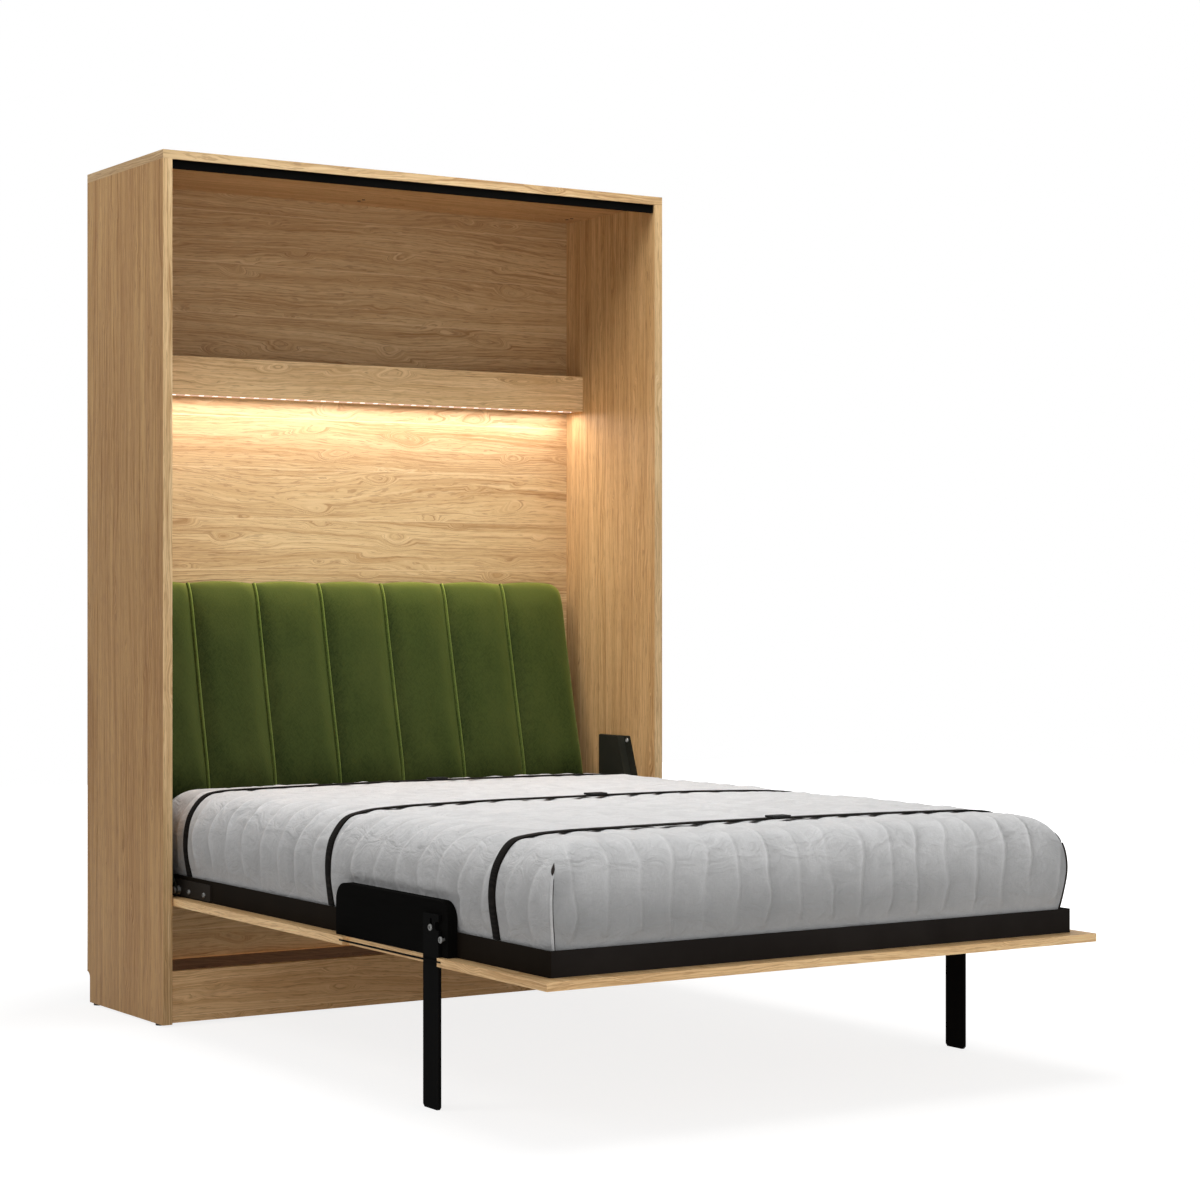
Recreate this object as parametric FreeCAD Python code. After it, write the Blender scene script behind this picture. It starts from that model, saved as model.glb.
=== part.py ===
"""Vertical wall bed, shown folded down: an oak cabinet with a lit book shelf and a channelled
headboard, and a bed on a steel frame that turns on two pivots and stands on two folding legs.

Millimetres, +Z up. The origin is on the floor under the middle of the whole object, +Y points
to the wall, and the foot of the bed points along -Y. Right-hand pieces (+X) are drawn and the
left-hand ones are their mirror images.
"""
import FreeCAD
import Part
import math
import os

Vec = FreeCAD.Vector

# Carcass
carcass_width = 1486.0
carcass_depth = 485.0
carcass_height = 2160.0
side_thickness = 25.0
top_thickness = 22.0
glide_height = 5.0
glide_radius = 12.0
glide_inset = 44.0
skirting_notch_depth = 17.0
skirting_notch_height = 79.0
back_thickness = 18.0
back_recess = 11.0
back_floor_gap = 60.0
plinth_floor_gap = 8.5
plinth_height = 127.0
plinth_thickness = 18.0
plinth_setback = 4.0
rear_rail_height = 95.0
rear_rail_thickness = 18.0
stop_strip_height = 21.5
stop_strip_thickness = 12.0
stop_strip_setback = 7.0
cam_cap_radius = 5.0
cam_cap_height = 1.2
cam_cap_spacing = 26.0
cam_cap_wall_gap = 78.0
cam_cap_end_gap = 48.0
wall_hole_radius = 5.0
wall_hole_side_gap = 118.0
wall_hole_low_height = 900.0
wall_hole_high_height = 1650.0

# Book shelf with its light
shelf_bottom_height = 1594.0
fascia_height = 100.0
fascia_thickness = 18.0
shelf_board_thickness = 18.0
shelf_trough_depth = 69.0
light_groove_width = 17.0
light_groove_depth = 8.0
light_groove_setback = 3.0
light_end_inset = 20.0
light_channel_wall = 1.5
light_strip_thickness = 2.5
light_strip_clearance = 0.3
driver_length = 160.0
driver_width = 45.0
driver_height = 22.0
driver_end_gap = 60.0
driver_corner_radius = 4.0

# Headboard
headboard_side_gap = 43.0
headboard_slope_length = 600.0
headboard_top_height = 1095.0
headboard_tilt_degrees = 13.2
headboard_board_thickness = 12.0
headboard_seam_depth = 15.0
headboard_crown = 12.0
headboard_channels = 7
headboard_scallop = 7.0
headboard_corner_radius = 34.0
headboard_end_round = 24.0
headboard_foot_start = 20.0
headboard_foot_round = 90.0
headboard_top_round = 34.0
wedge_thickness = 18.0
wedge_end_gap = 160.0
wedge_foot_start = 60.0

# Pivot and bed panel
pivot_height = 333.0
pivot_inset = 35.0
panel_thickness = 18.0
panel_side_gap = 3.0
panel_strip_gap = 2.5
panel_plinth_gap = 1.0

# Steel bed frame with its slats
rail_height = 53.0
rail_flange = 30.0
rail_sheet = 2.5
rail_edge_inset = 36.0
rail_foot_inset = 46.0
rail_head_inset = 35.0
beam_width = 50.0
beam_height = 10.0
beam_wall = 1.5
slat_count = 13
slat_width = 62.0
slat_thickness = 8.0
slat_end_margin = 75.0
cap_length = 30.0
cap_wall = 2.0
cap_overlap = 20.0

# Mattress, straps and buckles
mattress_height = 253.0
mattress_rail_gap = 2.5
mattress_bulge = 14.0
mattress_crown = 9.0
mattress_shoulder = 80.0
mattress_shoulder_drop = 5.0
mattress_belly_height = 129.0
mattress_foot_round = 16.0
mattress_lift = 0.3
strap_width = 20.0
strap_thickness = 1.8
strap_lift = 0.3
strap_head_gap = 38.0
strap_middle_gap = 77.0
strap_foot_gap = 151.0
buckle_length = 48.0
buckle_width = 28.0
buckle_thickness = 5.0
buckle_bar = 5.0
buckle_corner_radius = 4.0
buckle_offset = 30.0

# Guard boards and folding legs
guard_thickness = 23.0
guard_height = 116.0
guard_head_length = 440.0
guard_foot_length = 58.0
guard_corner_radius = 40.0
guard_mattress_gap = 0.5
leg_foot_inset = 466.0
leg_width = 65.0
leg_thickness = 7.0
leg_guard_gap = 0.5
leg_bolt_height = 375.5
leg_top_above_bolt = 28.0
leg_toe_chamfer = 6.0
leg_slot_travel = 16.0
leg_notch_width = 19.0
leg_notch_depth = 16.0
leg_notch_rise = 4.0
leg_bolt_radius = 4.0
leg_bolt_clearance = 0.1
leg_bolt_head_radius = 7.5
leg_bolt_head_height = 3.5
leg_bolt_engagement = 15.0
leg_head_gap = 0.3
stop_bolt_reach = 43.0
stop_bolt_drop = 22.0
leg_slot_clearance = 13.0
leg_slot_foot_clearance = 3.0
leg_slot_side_clearance = 2.0
slot_strip_thickness = 2.0
slot_strip_height = 4.0
slot_strip_drop = 6.0
slot_strip_overlap = 16.0

# Hinge arm and lift bracket
arm_thickness = 5.0
arm_height = 41.0
arm_lift = 3.0
arm_reach = 145.0
arm_tail_radius = 12.0
arm_neck_length = 25.0
arm_corner_radius = 4.0
arm_bolt_reach = (25.0, 113.0)
arm_bolt_head_radius = 7.0
arm_bolt_head_height = 4.5
arm_bolt_radius = 4.0
pin_radius = 6.0
pin_clearance = 0.05
pin_collar_radius = 11.0
pin_collar_gap = 0.3
pin_head_radius = 9.0
pin_head_height = 4.0
stud_radius = 5.0
stud_arm_length = 75.0
bracket_depth = 24.0
bracket_sheet = 2.5
bracket_back_inset = 246.0
bracket_front_inset = 152.0
bracket_top_height = 674.0
bracket_foot_height = 352.0
bracket_foot_front_inset = 39.0
bracket_flange = 30.0
bracket_corner_radius = 6.0
lug_radius = 15.0
screw_radius = 6.0
screw_head_height = 3.0
screw_edge_gap = 12.0

# Gas spring
spring_anchor_inset = 200.0
spring_anchor_height = 640.0
spring_anchor_radius = 4.0
spring_eye_radius = 9.0
spring_eye_length = 9.0
spring_tube_radius = 8.0
spring_tube_start = 6.0
spring_tube_end = 205.0
spring_bore_start = 50.0
spring_rod_radius = 4.0
spring_rod_clearance = 0.05
spring_rod_length = 255.0
spring_socket_radius = 8.0
spring_socket_length = 12.0
spring_stud_gap = 0.5
spring_side_gap = 4.0

small_disc_sides = 14
overrun = 5.0
same_point = 1e-6

# Heights and planes that follow from the sizes above
half_width = carcass_width / 2
inner_half = half_width - side_thickness
carcass_top = glide_height + carcass_height
top_underside = carcass_top - top_thickness
plinth_top = plinth_floor_gap + plinth_height
strip_bottom = top_underside - stop_strip_height

panel_half = inner_half - panel_side_gap
panel_bottom = pivot_height - pivot_inset
panel_top = panel_bottom + panel_thickness
pivot_to_foot = strip_bottom - panel_strip_gap - pivot_height
head_swing_radius = pivot_height - plinth_top - panel_plinth_gap
pivot_to_head = math.sqrt(head_swing_radius ** 2 - pivot_inset ** 2)

overall_depth = pivot_to_foot - pivot_inset + carcass_depth
back_plane = overall_depth / 2
front_plane = back_plane - carcass_depth
pivot_y = front_plane + pivot_inset
panel_foot = pivot_y - pivot_to_foot
panel_head = pivot_y + pivot_to_head
back_face = back_plane - back_recess - back_thickness

rail_outer = panel_half - rail_edge_inset
rail_inner = rail_outer - rail_sheet
rail_top = panel_top + rail_height
rail_foot = panel_foot + rail_foot_inset
rail_head = panel_head - rail_head_inset
slat_bottom = panel_top + beam_height
slat_top = slat_bottom + slat_thickness
mattress_bottom = slat_top + mattress_lift + cap_wall
mattress_top = mattress_bottom + mattress_height

guard_inner = rail_outer
guard_outer = guard_inner + guard_thickness
leg_inner = guard_outer + leg_guard_gap
leg_outer = leg_inner + leg_thickness
leg_y = panel_foot + leg_foot_inset
stop_bolt_y = leg_y - stop_bolt_reach
stop_bolt_height = leg_bolt_height - stop_bolt_drop

arm_outer = rail_outer + arm_thickness
arm_bottom = panel_top + arm_lift
arm_top = arm_bottom + arm_height
stud_y = pivot_y + stud_arm_length
bracket_face = inner_half - bracket_depth
bracket_inside = bracket_face + bracket_sheet
flange_face = inner_half - bracket_sheet
spring_x = inner_half - spring_side_gap - spring_tube_radius
anchor_y = front_plane + spring_anchor_inset


# Shapes shared by several pieces

def block(x_span, y_span, z_span):
    """Box between three pairs of low and high values."""
    size = [span[1] - span[0] for span in (x_span, y_span, z_span)]
    return Part.makeBox(*size, Vec(x_span[0], y_span[0], z_span[0]))


def rounded_face(corners):
    """Flat face with straight sides; each corner is a point and a radius, zero for a sharp one."""
    count = len(corners)
    bends = []
    for index, (point, radius) in enumerate(corners):
        coming = (point - corners[index - 1][0]).normalize()
        going = (corners[(index + 1) % count][0] - point).normalize()
        if radius == 0:
            bends.append((point, None, point))
            continue
        turn = coming.getAngle(going)
        reach = radius * math.tan(turn / 2)
        centre = point + (going - coming).normalize() * (radius / math.cos(turn / 2))
        middle = centre + (point - centre).normalize() * radius
        bends.append((point - coming * reach, middle, point + going * reach))
    edges = []
    for index, (start, middle, end) in enumerate(bends):
        if middle is not None:
            edges.append(Part.Arc(start, middle, end).toShape())
        following = bends[(index + 1) % count][0]
        if end.distanceToPoint(following) > same_point:
            edges.append(Part.LineSegment(end, following).toShape())
    return Part.Face(Part.Wire(edges))


def side_plate(x_low, x_high, corners):
    """Plate square to X whose corners are (y, z, radius)."""
    face = rounded_face([(Vec(x_low, y, z), radius) for y, z, radius in corners])
    return face.extrude(Vec(x_high - x_low, 0, 0))


def rod_x(radius, x_low, x_high, y, z):
    """Round bar along X."""
    return Part.makeCylinder(radius, x_high - x_low, Vec(x_low, y, z), Vec(1, 0, 0))


def small_disc(radius, base, way):
    """Many-sided disc from a base point, light enough to repeat as a bolt head or a cap."""
    rim = Part.makeCircle(radius, base, way).discretize(small_disc_sides + 1)
    return Part.Face(Part.makePolygon(rim)).extrude(way)


def mirrored(shape):
    """The left-hand twin of a right-hand piece."""
    return shape.mirror(Vec(0, 0, 0), Vec(1, 0, 0))


def both_sides(shape):
    """One group with a right-hand piece and its twin."""
    return Part.makeCompound([shape, mirrored(shape)])


# Cabinet

def side_panel():
    panel = block((inner_half, half_width), (front_plane, back_plane), (glide_height, top_underside))
    notch_top = glide_height + skirting_notch_height
    notch_front = back_plane - skirting_notch_depth
    notch = side_plate(inner_half - overrun, half_width + overrun, [
        (notch_front, glide_height - overrun, 0),
        (notch_front, notch_top, skirting_notch_depth),
        (back_plane + overrun, notch_top, 0),
        (back_plane + overrun, glide_height - overrun, 0)])
    return panel.cut(notch)


def top_panel():
    return block((-half_width, half_width), (front_plane, back_plane), (top_underside, carcass_top))


def back_panel():
    panel = block((-inner_half, inner_half), (back_face, back_face + back_thickness),
                  (back_floor_gap, top_underside))
    hole_x = inner_half - wall_hole_side_gap
    for x in (-hole_x, hole_x):
        for z in (wall_hole_low_height, wall_hole_high_height):
            hole = Part.makeCylinder(wall_hole_radius, back_thickness + 2 * overrun,
                                     Vec(x, back_face - overrun, z), Vec(0, 1, 0))
            panel = panel.cut(hole)
    return panel


def plinth():
    front = front_plane + plinth_setback
    return block((-inner_half, inner_half), (front, front + plinth_thickness),
                 (plinth_floor_gap, plinth_top))


def rear_bottom_rail():
    return block((-inner_half, inner_half), (back_face - rear_rail_thickness, back_face),
                 (plinth_floor_gap, plinth_floor_gap + rear_rail_height))


def top_stop_strip():
    front = front_plane + stop_strip_setback
    return block((-inner_half, inner_half), (front, front + stop_strip_thickness),
                 (strip_bottom, top_underside))


def floor_glides():
    x = half_width - side_thickness / 2
    glides = []
    for y in (front_plane + glide_inset, back_plane - glide_inset):
        glides.append(Part.makeCylinder(glide_radius, glide_height, Vec(x, y, 0)))
    return both_sides(Part.makeCompound(glides))


def cam_caps():
    end_x = inner_half - cam_cap_end_gap
    caps = []
    for x in (-end_x, 0, end_x):
        for step in (0, cam_cap_spacing):
            y = back_face - cam_cap_wall_gap - step
            caps.append(small_disc(cam_cap_radius, Vec(x, y, top_underside),
                                   Vec(0, 0, -cam_cap_height)))
    return Part.makeCompound(caps)


# Book shelf with its light

trough_front = back_face - shelf_trough_depth
groove_front = trough_front + light_groove_setback
groove_back = groove_front + light_groove_width
light_half = inner_half - light_end_inset
shelf_top = shelf_bottom_height + shelf_board_thickness
groove_top = shelf_bottom_height + light_groove_depth


def shelf_fascia():
    return block((-inner_half, inner_half), (trough_front - fascia_thickness, trough_front),
                 (shelf_bottom_height, shelf_bottom_height + fascia_height))


def shelf_board():
    board = block((-inner_half, inner_half), (trough_front, back_face),
                  (shelf_bottom_height, shelf_top))
    groove = block((-light_half, light_half), (groove_front, groove_back),
                   (shelf_bottom_height - overrun, groove_top))
    return board.cut(groove)


def light_channel():
    outer = block((-light_half, light_half), (groove_front, groove_back),
                  (shelf_bottom_height, groove_top))
    hollow = block((-light_half - overrun, light_half + overrun),
                   (groove_front + light_channel_wall, groove_back - light_channel_wall),
                   (shelf_bottom_height - overrun, groove_top - light_channel_wall))
    return outer.cut(hollow)


def light_strip():
    strip_top = groove_top - light_channel_wall
    return block((-light_half, light_half),
                 (groove_front + light_channel_wall + light_strip_clearance,
                  groove_back - light_channel_wall - light_strip_clearance),
                 (strip_top - light_strip_thickness, strip_top))


def light_driver():
    x_low = -inner_half + driver_end_gap
    y_low = (trough_front + back_face - driver_width) / 2
    body = block((x_low, x_low + driver_length), (y_low, y_low + driver_width),
                 (shelf_top, shelf_top + driver_height))
    upright = [edge for edge in body.Edges if edge.BoundBox.ZLength > driver_height / 2]
    return body.makeFillet(driver_corner_radius, upright)


# Headboard: a board that leans on the back panel, with a channelled cushion on its face

tilt = math.radians(headboard_tilt_degrees)
up_slope = Vec(0, math.sin(tilt), math.cos(tilt))
off_slope = Vec(0, -math.cos(tilt), math.sin(tilt))
slope_foot = Vec(0, back_face, headboard_top_height) - up_slope * headboard_slope_length
headboard_half = inner_half - headboard_side_gap
headboard_width = 2 * headboard_half
channel_width = headboard_width / headboard_channels
cushion_seam = headboard_board_thickness + headboard_seam_depth
cushion_crown = cushion_seam + headboard_crown


def on_slope(x, along, out):
    """Point at a place across the headboard, up its slope and out from the board's back."""
    return Vec(x, 0, 0) + slope_foot + up_slope * along + off_slope * out


def arc_wire(points):
    """Wire of arcs: the first point, then a point to pass and an end for each arc."""
    edges = []
    for index in range(0, len(points) - 2, 2):
        edges.append(Part.Arc(*points[index:index + 3]).toShape())
    return edges


def cushion_section():
    """Face across the channels: flat back, an arc over each channel and rounded outer ends."""
    def at(x, out):
        return on_slope(x, 0, out)

    back = headboard_board_thickness
    round_x = headboard_half - headboard_end_round
    first_seam = headboard_half - channel_width
    mid_x = (round_x + first_seam) / 2
    ease = 1 - math.sqrt(0.5)
    end_out = cushion_crown - headboard_crown / 4
    end_depth = end_out - back
    points = [at(-headboard_half, back),
              at(-headboard_half + headboard_end_round * ease, end_out - end_depth * ease),
              at(-round_x, end_out),
              at(-mid_x, cushion_crown),
              at(-first_seam, cushion_seam)]
    for index in range(1, headboard_channels - 1):
        start = -headboard_half + channel_width * index
        points.append(at(start + channel_width / 2, cushion_crown))
        points.append(at(start + channel_width, cushion_seam))
    points += [at(mid_x, cushion_crown),
               at(round_x, end_out),
               at(headboard_half - headboard_end_round * ease, end_out - end_depth * ease),
               at(headboard_half, back)]
    edges = arc_wire(points)
    edges.append(Part.LineSegment(points[-1], points[0]).toShape())
    return Part.Face(Part.Wire(edges))


def cushion_side():
    """Face seen from the side: the front rises from the foot in a long arc and rolls over the top."""
    def at(along, out):
        return on_slope(-headboard_half - overrun, along, out)

    back = headboard_board_thickness
    depth = cushion_crown - back
    ease = 1 - math.sqrt(0.5)
    foot = headboard_foot_start
    full = foot + headboard_foot_round
    top = headboard_slope_length + headboard_scallop
    top_round = top - headboard_top_round
    foot_edge = back + depth / 8
    edges = [
        Part.LineSegment(at(top, back), at(foot, back)).toShape(),
        Part.LineSegment(at(foot, back), at(foot, foot_edge)).toShape(),
        Part.Arc(at(foot, foot_edge),
                 at(foot + headboard_foot_round / 3, back + depth * 0.62),
                 at(full, cushion_crown)).toShape(),
        Part.LineSegment(at(full, cushion_crown), at(top_round, cushion_crown)).toShape(),
        Part.Arc(at(top_round, cushion_crown),
                 at(top - headboard_top_round * ease, cushion_crown - depth * ease),
                 at(top, back)).toShape()]
    return Part.Face(Part.Wire(edges))


def cushion_front():
    """Face seen from the front: scalloped along the top, with rounded upper corners."""
    def at(x, along):
        return on_slope(x, along, 0)

    low = headboard_foot_start - overrun
    seam_top = headboard_slope_length
    crown_top = seam_top + headboard_scallop
    radius = headboard_corner_radius
    ease = 1 - math.sqrt(0.5)
    first_seam = headboard_half - channel_width
    corner_x = headboard_half - radius
    mid_x = (corner_x + first_seam) / 2
    points = [at(-headboard_half, seam_top - radius),
              at(-headboard_half + radius * ease, seam_top - radius * ease),
              at(-corner_x, seam_top),
              at(-mid_x, crown_top),
              at(-first_seam, seam_top)]
    for index in range(1, headboard_channels - 1):
        start = -headboard_half + channel_width * index
        points.append(at(start + channel_width / 2, crown_top))
        points.append(at(start + channel_width, seam_top))
    points += [at(mid_x, crown_top),
               at(corner_x, seam_top),
               at(headboard_half - radius * ease, seam_top - radius * ease),
               at(headboard_half, seam_top - radius)]
    edges = arc_wire(points)
    low_right = at(headboard_half, low)
    low_left = at(-headboard_half, low)
    edges.append(Part.LineSegment(points[-1], low_right).toShape())
    edges.append(Part.LineSegment(low_right, low_left).toShape())
    edges.append(Part.LineSegment(low_left, points[0]).toShape())
    return Part.Face(Part.Wire(edges))


def headboard_cushion():
    length = headboard_slope_length + 2 * overrun
    body = cushion_section().extrude(up_slope * (length + headboard_scallop))
    side = cushion_side().extrude(Vec(headboard_width + 2 * overrun, 0, 0))
    front = cushion_front().extrude(off_slope * (cushion_crown + overrun))
    return body.common(side).common(front)


def headboard_board():
    inset = headboard_corner_radius / 2
    half = headboard_half - inset
    top = headboard_slope_length
    face = rounded_face([
        (on_slope(-half, headboard_foot_start, 0), 0),
        (on_slope(-half, top, 0), headboard_corner_radius),
        (on_slope(half, top, 0), headboard_corner_radius),
        (on_slope(half, headboard_foot_start, 0), 0)])
    return face.extrude(off_slope * headboard_board_thickness)


def headboard_wedge():
    """Wooden wedge between the leaning board and the upright back panel."""
    x_low = headboard_half - wedge_end_gap
    foot = on_slope(x_low, wedge_foot_start, 0)
    top = on_slope(x_low, headboard_slope_length, 0)
    heel = Vec(x_low, back_face, foot.z)
    face = Part.Face(Part.makePolygon([foot, heel, top, foot]))
    return face.extrude(Vec(wedge_thickness, 0, 0))


# Bed panel and steel frame

slot_reach = math.sqrt((leg_bolt_height ** 2 + (leg_width / 2) ** 2)
                       - (leg_bolt_height - panel_top) ** 2)
slot_head = leg_y + slot_reach + leg_slot_clearance
slot_foot = leg_y - leg_width / 2 - leg_slot_foot_clearance
slot_inner = leg_inner - leg_slot_side_clearance
strip_head = slot_head + slot_strip_overlap
strip_foot = slot_foot - slot_strip_overlap
strip_top = panel_top - slot_strip_drop


def leg_slot():
    return block((slot_inner, panel_half + overrun), (slot_foot, slot_head),
                 (panel_bottom - overrun, panel_top + overrun))


def slot_strip():
    return block((panel_half - slot_strip_thickness, panel_half), (strip_foot, strip_head),
                 (strip_top - slot_strip_height, strip_top))


def bed_panel():
    panel = block((-panel_half, panel_half), (panel_foot, panel_head), (panel_bottom, panel_top))
    return panel.cut(both_sides(leg_slot())).cut(both_sides(slot_strip()))


def side_rail():
    upstand = block((rail_inner, rail_outer), (rail_foot, rail_head), (panel_top, rail_top))
    flange = block((rail_outer - rail_flange, rail_outer),
                   (rail_foot + rail_sheet, rail_head - rail_sheet),
                   (panel_top, panel_top + rail_sheet))
    return upstand.fuse(flange).removeSplitter()


def end_rail(outside, inward):
    """Rail across the bed; inward is the way its flange points along Y."""
    wall = sorted((outside, outside + inward * rail_sheet))
    lip = sorted((outside, outside + inward * rail_flange))
    upstand = block((-rail_inner, rail_inner), wall, (panel_top, rail_top))
    flange_half = rail_outer - rail_flange
    flange = block((-flange_half, flange_half), lip, (panel_top, panel_top + rail_sheet))
    return upstand.fuse(flange).removeSplitter()


def centre_beam():
    y_span = (rail_foot + rail_flange, rail_head - rail_flange)
    tube = block((-beam_width / 2, beam_width / 2), y_span, (panel_top, slat_bottom))
    inside = beam_width / 2 - beam_wall
    bore = block((-inside, inside), (y_span[0] - overrun, y_span[1] + overrun),
                 (panel_top + beam_wall, slat_bottom - beam_wall))
    return tube.cut(bore)


cap_outer = rail_inner
cap_inner = cap_outer - cap_length
slat_half = cap_inner + cap_overlap
slat_first = rail_foot + slat_end_margin
slat_pitch = (rail_head - rail_foot - 2 * slat_end_margin) / (slat_count - 1)


def slat_places():
    return [slat_first + slat_pitch * index for index in range(slat_count)]


def slat(y):
    return block((-slat_half, slat_half), (y - slat_width / 2, y + slat_width / 2),
                 (slat_bottom, slat_top))


def slat_cap(y):
    reach = slat_width / 2 + cap_wall
    shell = block((cap_inner, cap_outer), (y - reach, y + reach),
                  (panel_top + rail_sheet, slat_top + cap_wall))
    return shell.cut(slat(y))


def slats():
    return Part.makeCompound([slat(y) for y in slat_places()])


def slat_caps():
    return both_sides(Part.makeCompound([slat_cap(y) for y in slat_places()]))


# Mattress and straps

mattress_half = rail_inner - mattress_rail_gap
mattress_foot = rail_foot + rail_sheet + mattress_rail_gap
mattress_head = rail_head - rail_sheet - mattress_rail_gap
mattress_belly = mattress_bottom + mattress_belly_height
mattress_edge = mattress_top - mattress_crown - mattress_shoulder_drop


def pillow_wire(place, low, high):
    """Upright outline from low to high: straight by the rails, bulging sides and a crowned top."""
    foot_ease = mattress_foot_round * (1 - math.sqrt(0.5))
    foot_top = mattress_bottom + mattress_foot_round
    swell = (rail_top + mattress_belly) / 2
    swell_out = mattress_bulge * 0.8
    bend_in = mattress_shoulder * 0.24
    bend_up = mattress_belly + (mattress_edge - mattress_belly) * 0.65
    out_low = low - mattress_bulge
    out_high = high + mattress_bulge
    shoulder = mattress_shoulder
    corners = [
        place(low + mattress_foot_round, mattress_bottom),
        place(high - mattress_foot_round, mattress_bottom),
        place(high, foot_top),
        place(high, rail_top),
        place(out_high, mattress_belly),
        place(out_high - shoulder, mattress_edge),
        place(out_low + shoulder, mattress_edge),
        place(out_low, mattress_belly),
        place(low, rail_top),
        place(low, foot_top)]
    middles = [
        None,
        place(high - foot_ease, mattress_bottom + foot_ease),
        None,
        place(high + swell_out, swell),
        place(out_high - bend_in, bend_up),
        place((low + high) / 2, mattress_top),
        place(out_low + bend_in, bend_up),
        place(low - swell_out, swell),
        None,
        place(low + foot_ease, mattress_bottom + foot_ease)]
    edges = []
    for index, middle in enumerate(middles):
        start = corners[index]
        end = corners[(index + 1) % len(corners)]
        if middle is None:
            edges.append(Part.LineSegment(start, end).toShape())
        else:
            edges.append(Part.Arc(start, middle, end).toShape())
    return Part.Wire(edges)


def across(y):
    return pillow_wire(lambda x, z: Vec(x, y, z), -mattress_half, mattress_half)


def mattress():
    reach = mattress_bulge + overrun
    length = mattress_head - mattress_foot + 2 * reach
    body = Part.Face(across(mattress_foot - reach)).extrude(Vec(0, length, 0))
    side_x = -mattress_half - reach
    lengthwise = pillow_wire(lambda y, z: Vec(side_x, y, z), mattress_foot, mattress_head)
    body = body.common(Part.Face(lengthwise).extrude(Vec(2 * (mattress_half + reach), 0, 0)))
    relief = block((guard_inner - guard_mattress_gap, guard_outer),
                   (guard_foot - guard_mattress_gap, guard_head + guard_mattress_gap),
                   (rail_top, guard_top + guard_mattress_gap))
    return body.cut(both_sides(relief))


def strap_places():
    """Middles of the straps along Y: near the pivot and either side of the guard boards."""
    guard_head = leg_y + guard_head_length
    guard_foot = leg_y - guard_foot_length
    return (pivot_y - strap_head_gap, guard_head + strap_middle_gap, guard_foot - strap_foot_gap)


def strap(y_mid):
    """Elastic band over the mattress, tucked down between its sides and the rails."""
    y_low = y_mid - strap_width / 2
    section = across(y_low)
    outside = Part.Face(section.makeOffset2D(strap_lift + strap_thickness))
    inside = Part.Face(section.makeOffset2D(strap_lift))
    band = outside.cut(inside).extrude(Vec(0, strap_width, 0))
    keep = block((-half_width, half_width), (y_low - overrun, y_low + strap_width + overrun),
                 (mattress_bottom + mattress_foot_round, mattress_top + 2 * overrun))
    return band.common(keep)


def buckle(y_mid):
    """Ladder buckle lying on the strap: a rounded frame with two slots."""
    z_low = mattress_top + 2 * strap_lift + strap_thickness
    half_length = buckle_length / 2
    half_breadth = buckle_width / 2
    frame = block((buckle_offset - half_length, buckle_offset + half_length),
                  (y_mid - half_breadth, y_mid + half_breadth), (z_low, z_low + buckle_thickness))
    upright = [edge for edge in frame.Edges if edge.BoundBox.ZLength > buckle_thickness / 2]
    frame = frame.makeFillet(buckle_corner_radius, upright)
    slot_length = (buckle_length - 3 * buckle_bar) / 2
    for side in (-1, 1):
        x_mid = buckle_offset + side * (buckle_bar + slot_length) / 2
        slot = block((x_mid - slot_length / 2, x_mid + slot_length / 2),
                     (y_mid - half_breadth + buckle_bar, y_mid + half_breadth - buckle_bar),
                     (z_low - overrun, z_low + buckle_thickness + overrun))
        frame = frame.cut(slot)
    return frame


def buckles():
    return Part.makeCompound([buckle(y_mid) for y_mid in strap_places()])


# Guard boards and folding legs

guard_top = panel_top + guard_height
guard_head = leg_y + guard_head_length
guard_foot = leg_y - guard_foot_length


def bolt_places():
    return ((leg_y, leg_bolt_height), (stop_bolt_y, stop_bolt_height))


def guard_board():
    board = side_plate(guard_inner, guard_outer, [
        (guard_foot, panel_top, 0),
        (guard_foot, guard_top, guard_corner_radius),
        (guard_head, guard_top, guard_corner_radius),
        (guard_head, panel_top, 0)])
    hole_radius = leg_bolt_radius + leg_bolt_clearance / 2
    for y, z in bolt_places():
        board = board.cut(rod_x(hole_radius, guard_outer - leg_bolt_engagement,
                                guard_outer + overrun, y, z))
    return board


def leg_bolts():
    """Pivot bolt and stop bolt, each with a flat head outside the leg."""
    bolts = []
    head_x = leg_outer + leg_head_gap
    for y, z in bolt_places():
        shank = rod_x(leg_bolt_radius, guard_outer - leg_bolt_engagement, head_x, y, z)
        head = small_disc(leg_bolt_head_radius, Vec(head_x, y, z), Vec(leg_bolt_head_height, 0, 0))
        bolts.append(shank.fuse(head))
    return Part.makeCompound(bolts)


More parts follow.
